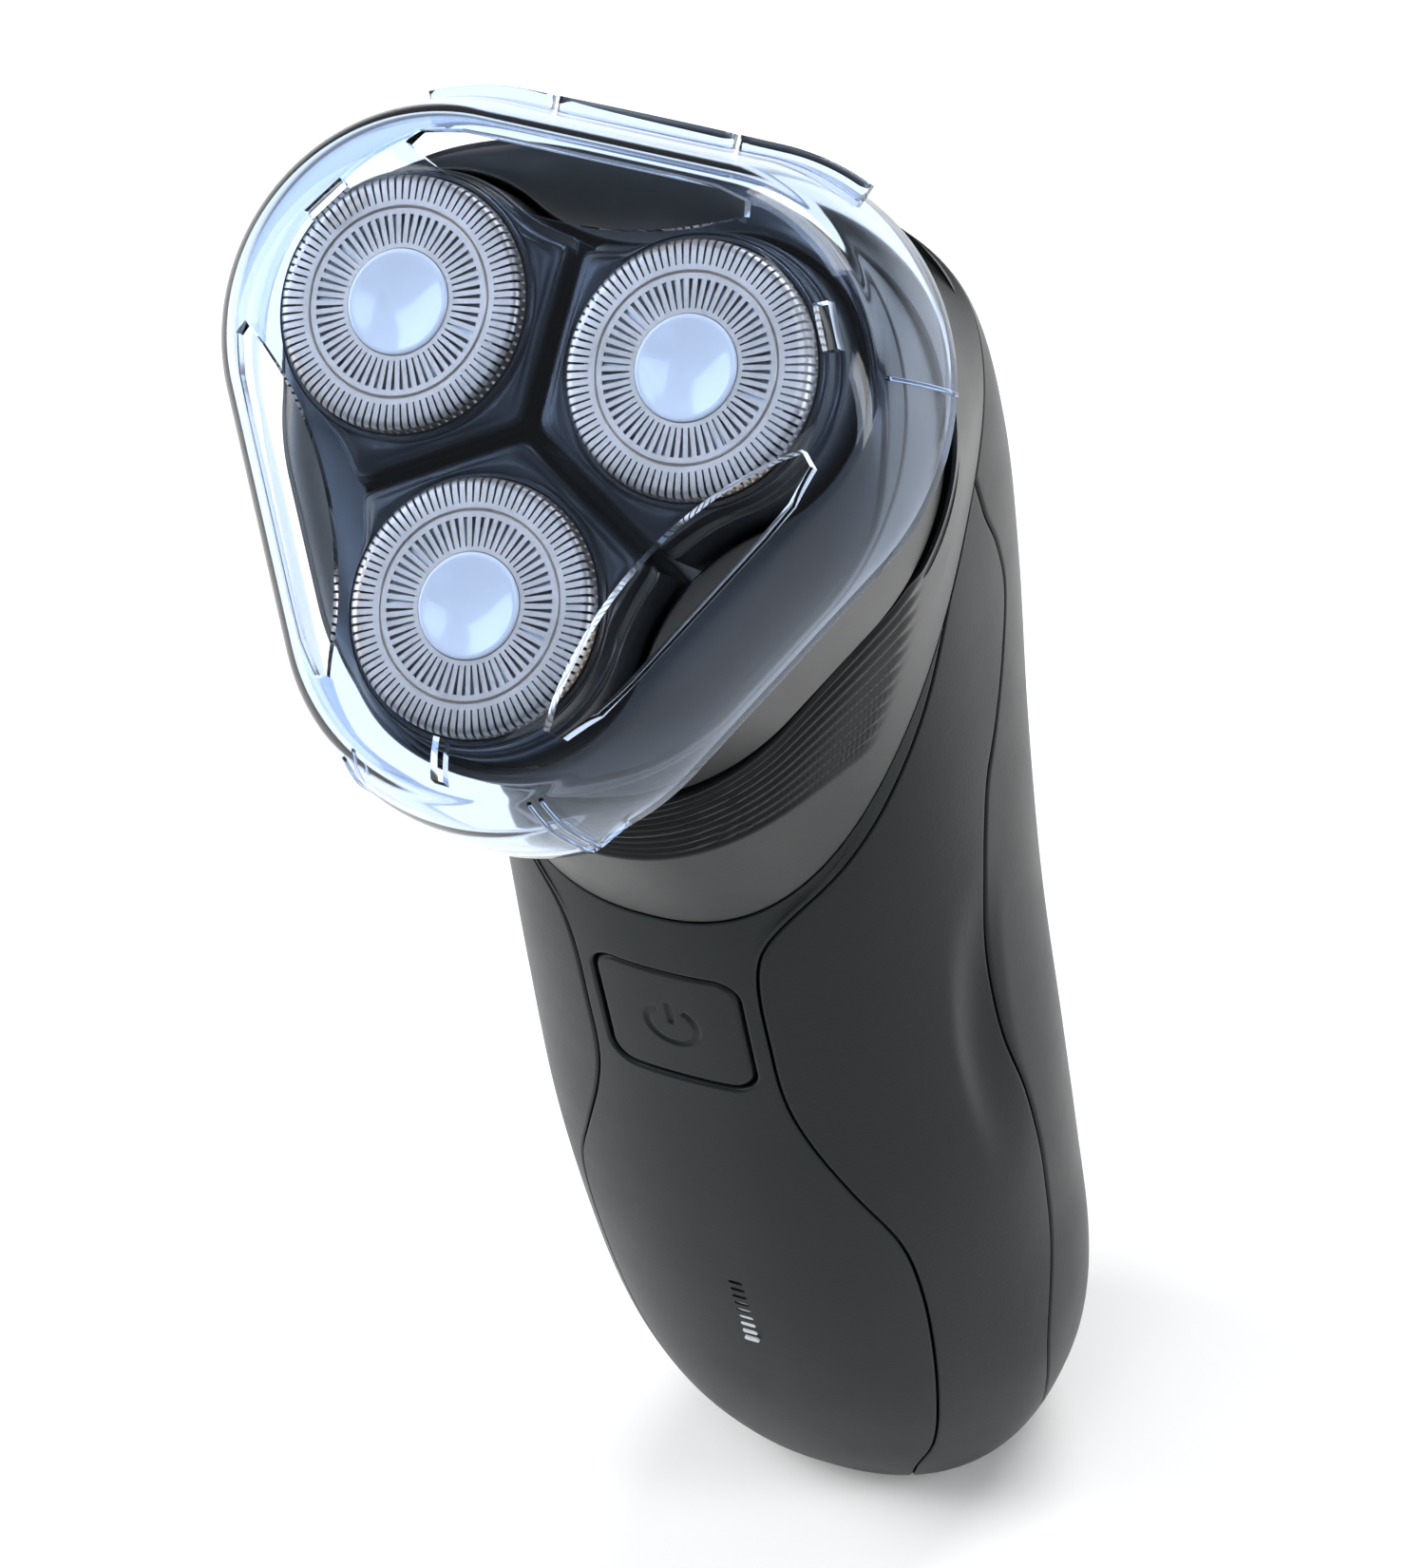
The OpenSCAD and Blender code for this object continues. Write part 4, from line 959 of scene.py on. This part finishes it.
def clear_plastic():
    """Clear styrene: light passes straight through on its way to the parts inside."""
    material = bpy.data.materials.new("clear_styrene")
    material.use_nodes = True
    nodes, links = material.node_tree.nodes, material.node_tree.links
    shader = nodes["Principled BSDF"]
    shader.inputs["Base Color"].default_value = (0.60, 0.72, 0.92, 1)
    shader.inputs["Roughness"].default_value = 0.04
    shader.inputs["IOR"].default_value = 1.3
    shader.inputs["Transmission Weight"].default_value = 1.0
    path = nodes.new("ShaderNodeLightPath")
    through = nodes.new("ShaderNodeBsdfTransparent")
    through.inputs["Color"].default_value = (0.9, 0.94, 1.0, 1)
    mix = nodes.new("ShaderNodeMixShader")
    links.new(path.outputs["Is Shadow Ray"], mix.inputs["Fac"])
    links.new(shader.outputs["BSDF"], mix.inputs[1])
    links.new(through.outputs["BSDF"], mix.inputs[2])
    links.new(mix.outputs["Shader"], nodes["Material Output"].inputs["Surface"])
    return material


cap_clear = clear_plastic()
bm = bmesh.new()
sheet(bm, 240, 60, cap_place, closed=True)
bmesh.ops.recalc_face_normals(bm, faces=bm.faces)
bmesh.ops.transform(bm, matrix=on_head, verts=bm.verts)
cap = add_piece("clear_cap_shell", bm, [cap_clear], "clear_cap", ["clear_cap"])
add_wall(cap, cap_wall)

# Openings in the web: long lens shapes between the arms, reaching onto the rounded rim.
window_waist = foil_pitch + 1.5
window_arc = 34.0
window_land = 1.4
window_wrap = -0.3
window_depth = 0.4
window_middle = (window_waist + rim_side) / 2 + 0.6


def window_outline(count=72):
    """Lens between the web's hollow arc and the rim, for the opening that points along +X."""
    points = []
    for k in range(count):
        turn = 2 * math.pi * k / count
        dx, dy = math.cos(turn), math.sin(turn)
        low, high = 0.0, 40.0
        for _ in range(24):
            t = (low + high) / 2
            x, y = window_middle + t * dx, t * dy
            arc = math.hypot(x - window_waist - window_arc, y) - window_arc
            a = math.degrees(math.atan2(y, x))
            rim = math.hypot(x, y) - triangle_reach(rim_corner - window_land, rim_side + window_wrap, a + 90)
            if max(arc, rim) < 0:
                low = t
            else:
                high = t
        points.append((window_middle + low * dx, low * dy))
    return points


bm = bmesh.new()
for angle in pod_angles:
    lens_points = window_outline()
    ring = bmesh.ops.create_circle(bm, cap_ends=True, segments=len(lens_points), radius=1)["verts"]
    for v, (x, y) in zip(ring, lens_points):
        v.co = Vector((x, y, -window_depth))
    face = ring[0].link_faces[0]
    made = bmesh.ops.extrude_face_region(bm, geom=[face])["geom"]
    low = [g for g in made if isinstance(g, bmesh.types.BMVert)]
    bmesh.ops.translate(bm, verts=low, vec=(0, 0, window_depth + cap_face + 2))
    bmesh.ops.rotate(bm, verts=ring + low, cent=(0, 0, 0),
                     matrix=Matrix.Rotation(math.radians(angle + 60), 3, "Z"))
bmesh.ops.transform(bm, matrix=on_head, verts=bm.verts)
cut_with(cap, loose_object("cap_cutter", bm))

# Vent slots near the three corners, cut straight through the rounded rim.
vent_width = 1.1
vent_places = [(-20.7, 14.2, 55, 4.0), (24.3, 13.1, 118, 4.0), (1.4, -27.6, 90, 3.4)]
bm = bmesh.new()
for x, y, angle, length in vent_places:
    block = bmesh.ops.create_cube(bm, size=1)["verts"]
    bmesh.ops.scale(bm, vec=(length, vent_width, 2 * cap_face + 2), verts=block)
    bmesh.ops.rotate(bm, verts=block, matrix=Matrix.Rotation(math.radians(angle), 3, "Z"))
    bmesh.ops.translate(bm, verts=block, vec=(x, y, cap_face))
bmesh.ops.transform(bm, matrix=on_head, verts=bm.verts)
cut_with(cap, loose_object("vent_cutter", bm))


def skirt_strip(bm, start, stop, low, high, proud, across, up):
    """Sheet that follows the skirt between two turns and two heights, a little proud of it."""
    def place(u, v):
        point = cap_place((start + (stop - start) * u) / 360, low + (high - low) * v)
        reach = math.hypot(point.x, point.y)
        return Vector((point.x * (1 + proud / reach), point.y * (1 + proud / reach), point.z))
    sheet(bm, across, up, place)


def add_strips(name, bm, wall):
    bm.normal_update()
    inward = [f for f in bm.faces if f.normal.xy.dot(f.calc_center_median().xy) < 0]
    bmesh.ops.reverse_faces(bm, faces=inward)
    bmesh.ops.transform(bm, matrix=on_head, verts=bm.verts)
    piece = add_piece(name, bm, [cap_clear], "clear_cap", [])
    add_wall(piece, wall)
    smooth(piece, 40)


# Finger ledge in three lengths along the back of the skirt, and the tool's fine parting lines.
ledge_proud = 1.1
ledge_sunk = 0.3
ledge_turns = [(53, 74.2), (75.8, 107.2), (108.8, 128)]
line_proud = 0.18
line_turns = (19.5, 254, 286, 288)
line_spread = 0.6
line_sunk = 0.2
bm = bmesh.new()
for start, stop in ledge_turns:
    skirt_strip(bm, start, stop, 0.015, 0.075, ledge_proud, 24, 1)
add_strips("cap_ledge", bm, ledge_proud + ledge_sunk)
bm = bmesh.new()
for turn in line_turns:
    skirt_strip(bm, turn, turn + line_spread, 0.01, 0.44, line_proud, 1, 20)
add_strips("cap_parting_lines", bm, line_proud + line_sunk)

# ---- Inner parts ------------------------------------------------------------------------------
# Parts behind the shells keep their plain shapes and get the finish of what they are made of.
inner_finishes = {
    ("foot_plate",): shell_black,
    ("gear_cover", "chassis"): plastic("frame_grey", (0.016, 0.017, 0.018), (0.022, 0.023, 0.024), 0.5),
    ("gear_plate", "motor_can"): steel("plated_steel", (0.52, 0.53, 0.55), (0.42, 0.42, 0.43), 0.32),
    ("gear_pins", "motor_shaft", "gear_screws", "board_screws"):
        steel("ground_steel", (0.60, 0.60, 0.61), (0.48, 0.48, 0.49), 0.22),
    ("cutter_1", "cutter_2", "cutter_3"): steel("cutter_steel", (0.50, 0.50, 0.51), (0.36, 0.36, 0.36), 0.3),
    ("spindle_spring_1", "spindle_spring_2", "spindle_spring_3"):
        steel("spring_wire", (0.58, 0.59, 0.60), (0.46, 0.46, 0.47), 0.28, streak=2000.0),
    ("drive_gear_1", "drive_gear_2", "drive_gear_3", "motor_pinion"):
        plastic("gear_nylon", (0.66, 0.63, 0.55), (0.60, 0.56, 0.47), 0.42),
    ("cutter_holder", "holder_knob"): plastic("holder_grey", (0.33, 0.36, 0.40), (0.29, 0.32, 0.36), 0.4),
    ("battery_cell",): plastic("cell_wrap", (0.02, 0.12, 0.07), (0.03, 0.15, 0.09), 0.3, Coat_Weight=0.4),
    ("cell_contacts",): steel("contact_brass", (0.72, 0.55, 0.26), (0.55, 0.42, 0.2), 0.3),
    ("circuit_board",): plastic("board_green", (0.01, 0.08, 0.04), (0.02, 0.12, 0.06), 0.35),
    ("tact_switch", "charging_socket"):
        plastic("part_black", (0.01, 0.01, 0.011), (0.015, 0.015, 0.016), 0.4),
    ("light_guide",): plastic("frosted_guide", (0.50, 0.53, 0.56), (0.58, 0.60, 0.62), 0.35),
}
for names, material in inner_finishes.items():
    for name in names:
        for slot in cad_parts[name].material_slots:
            slot.material = material
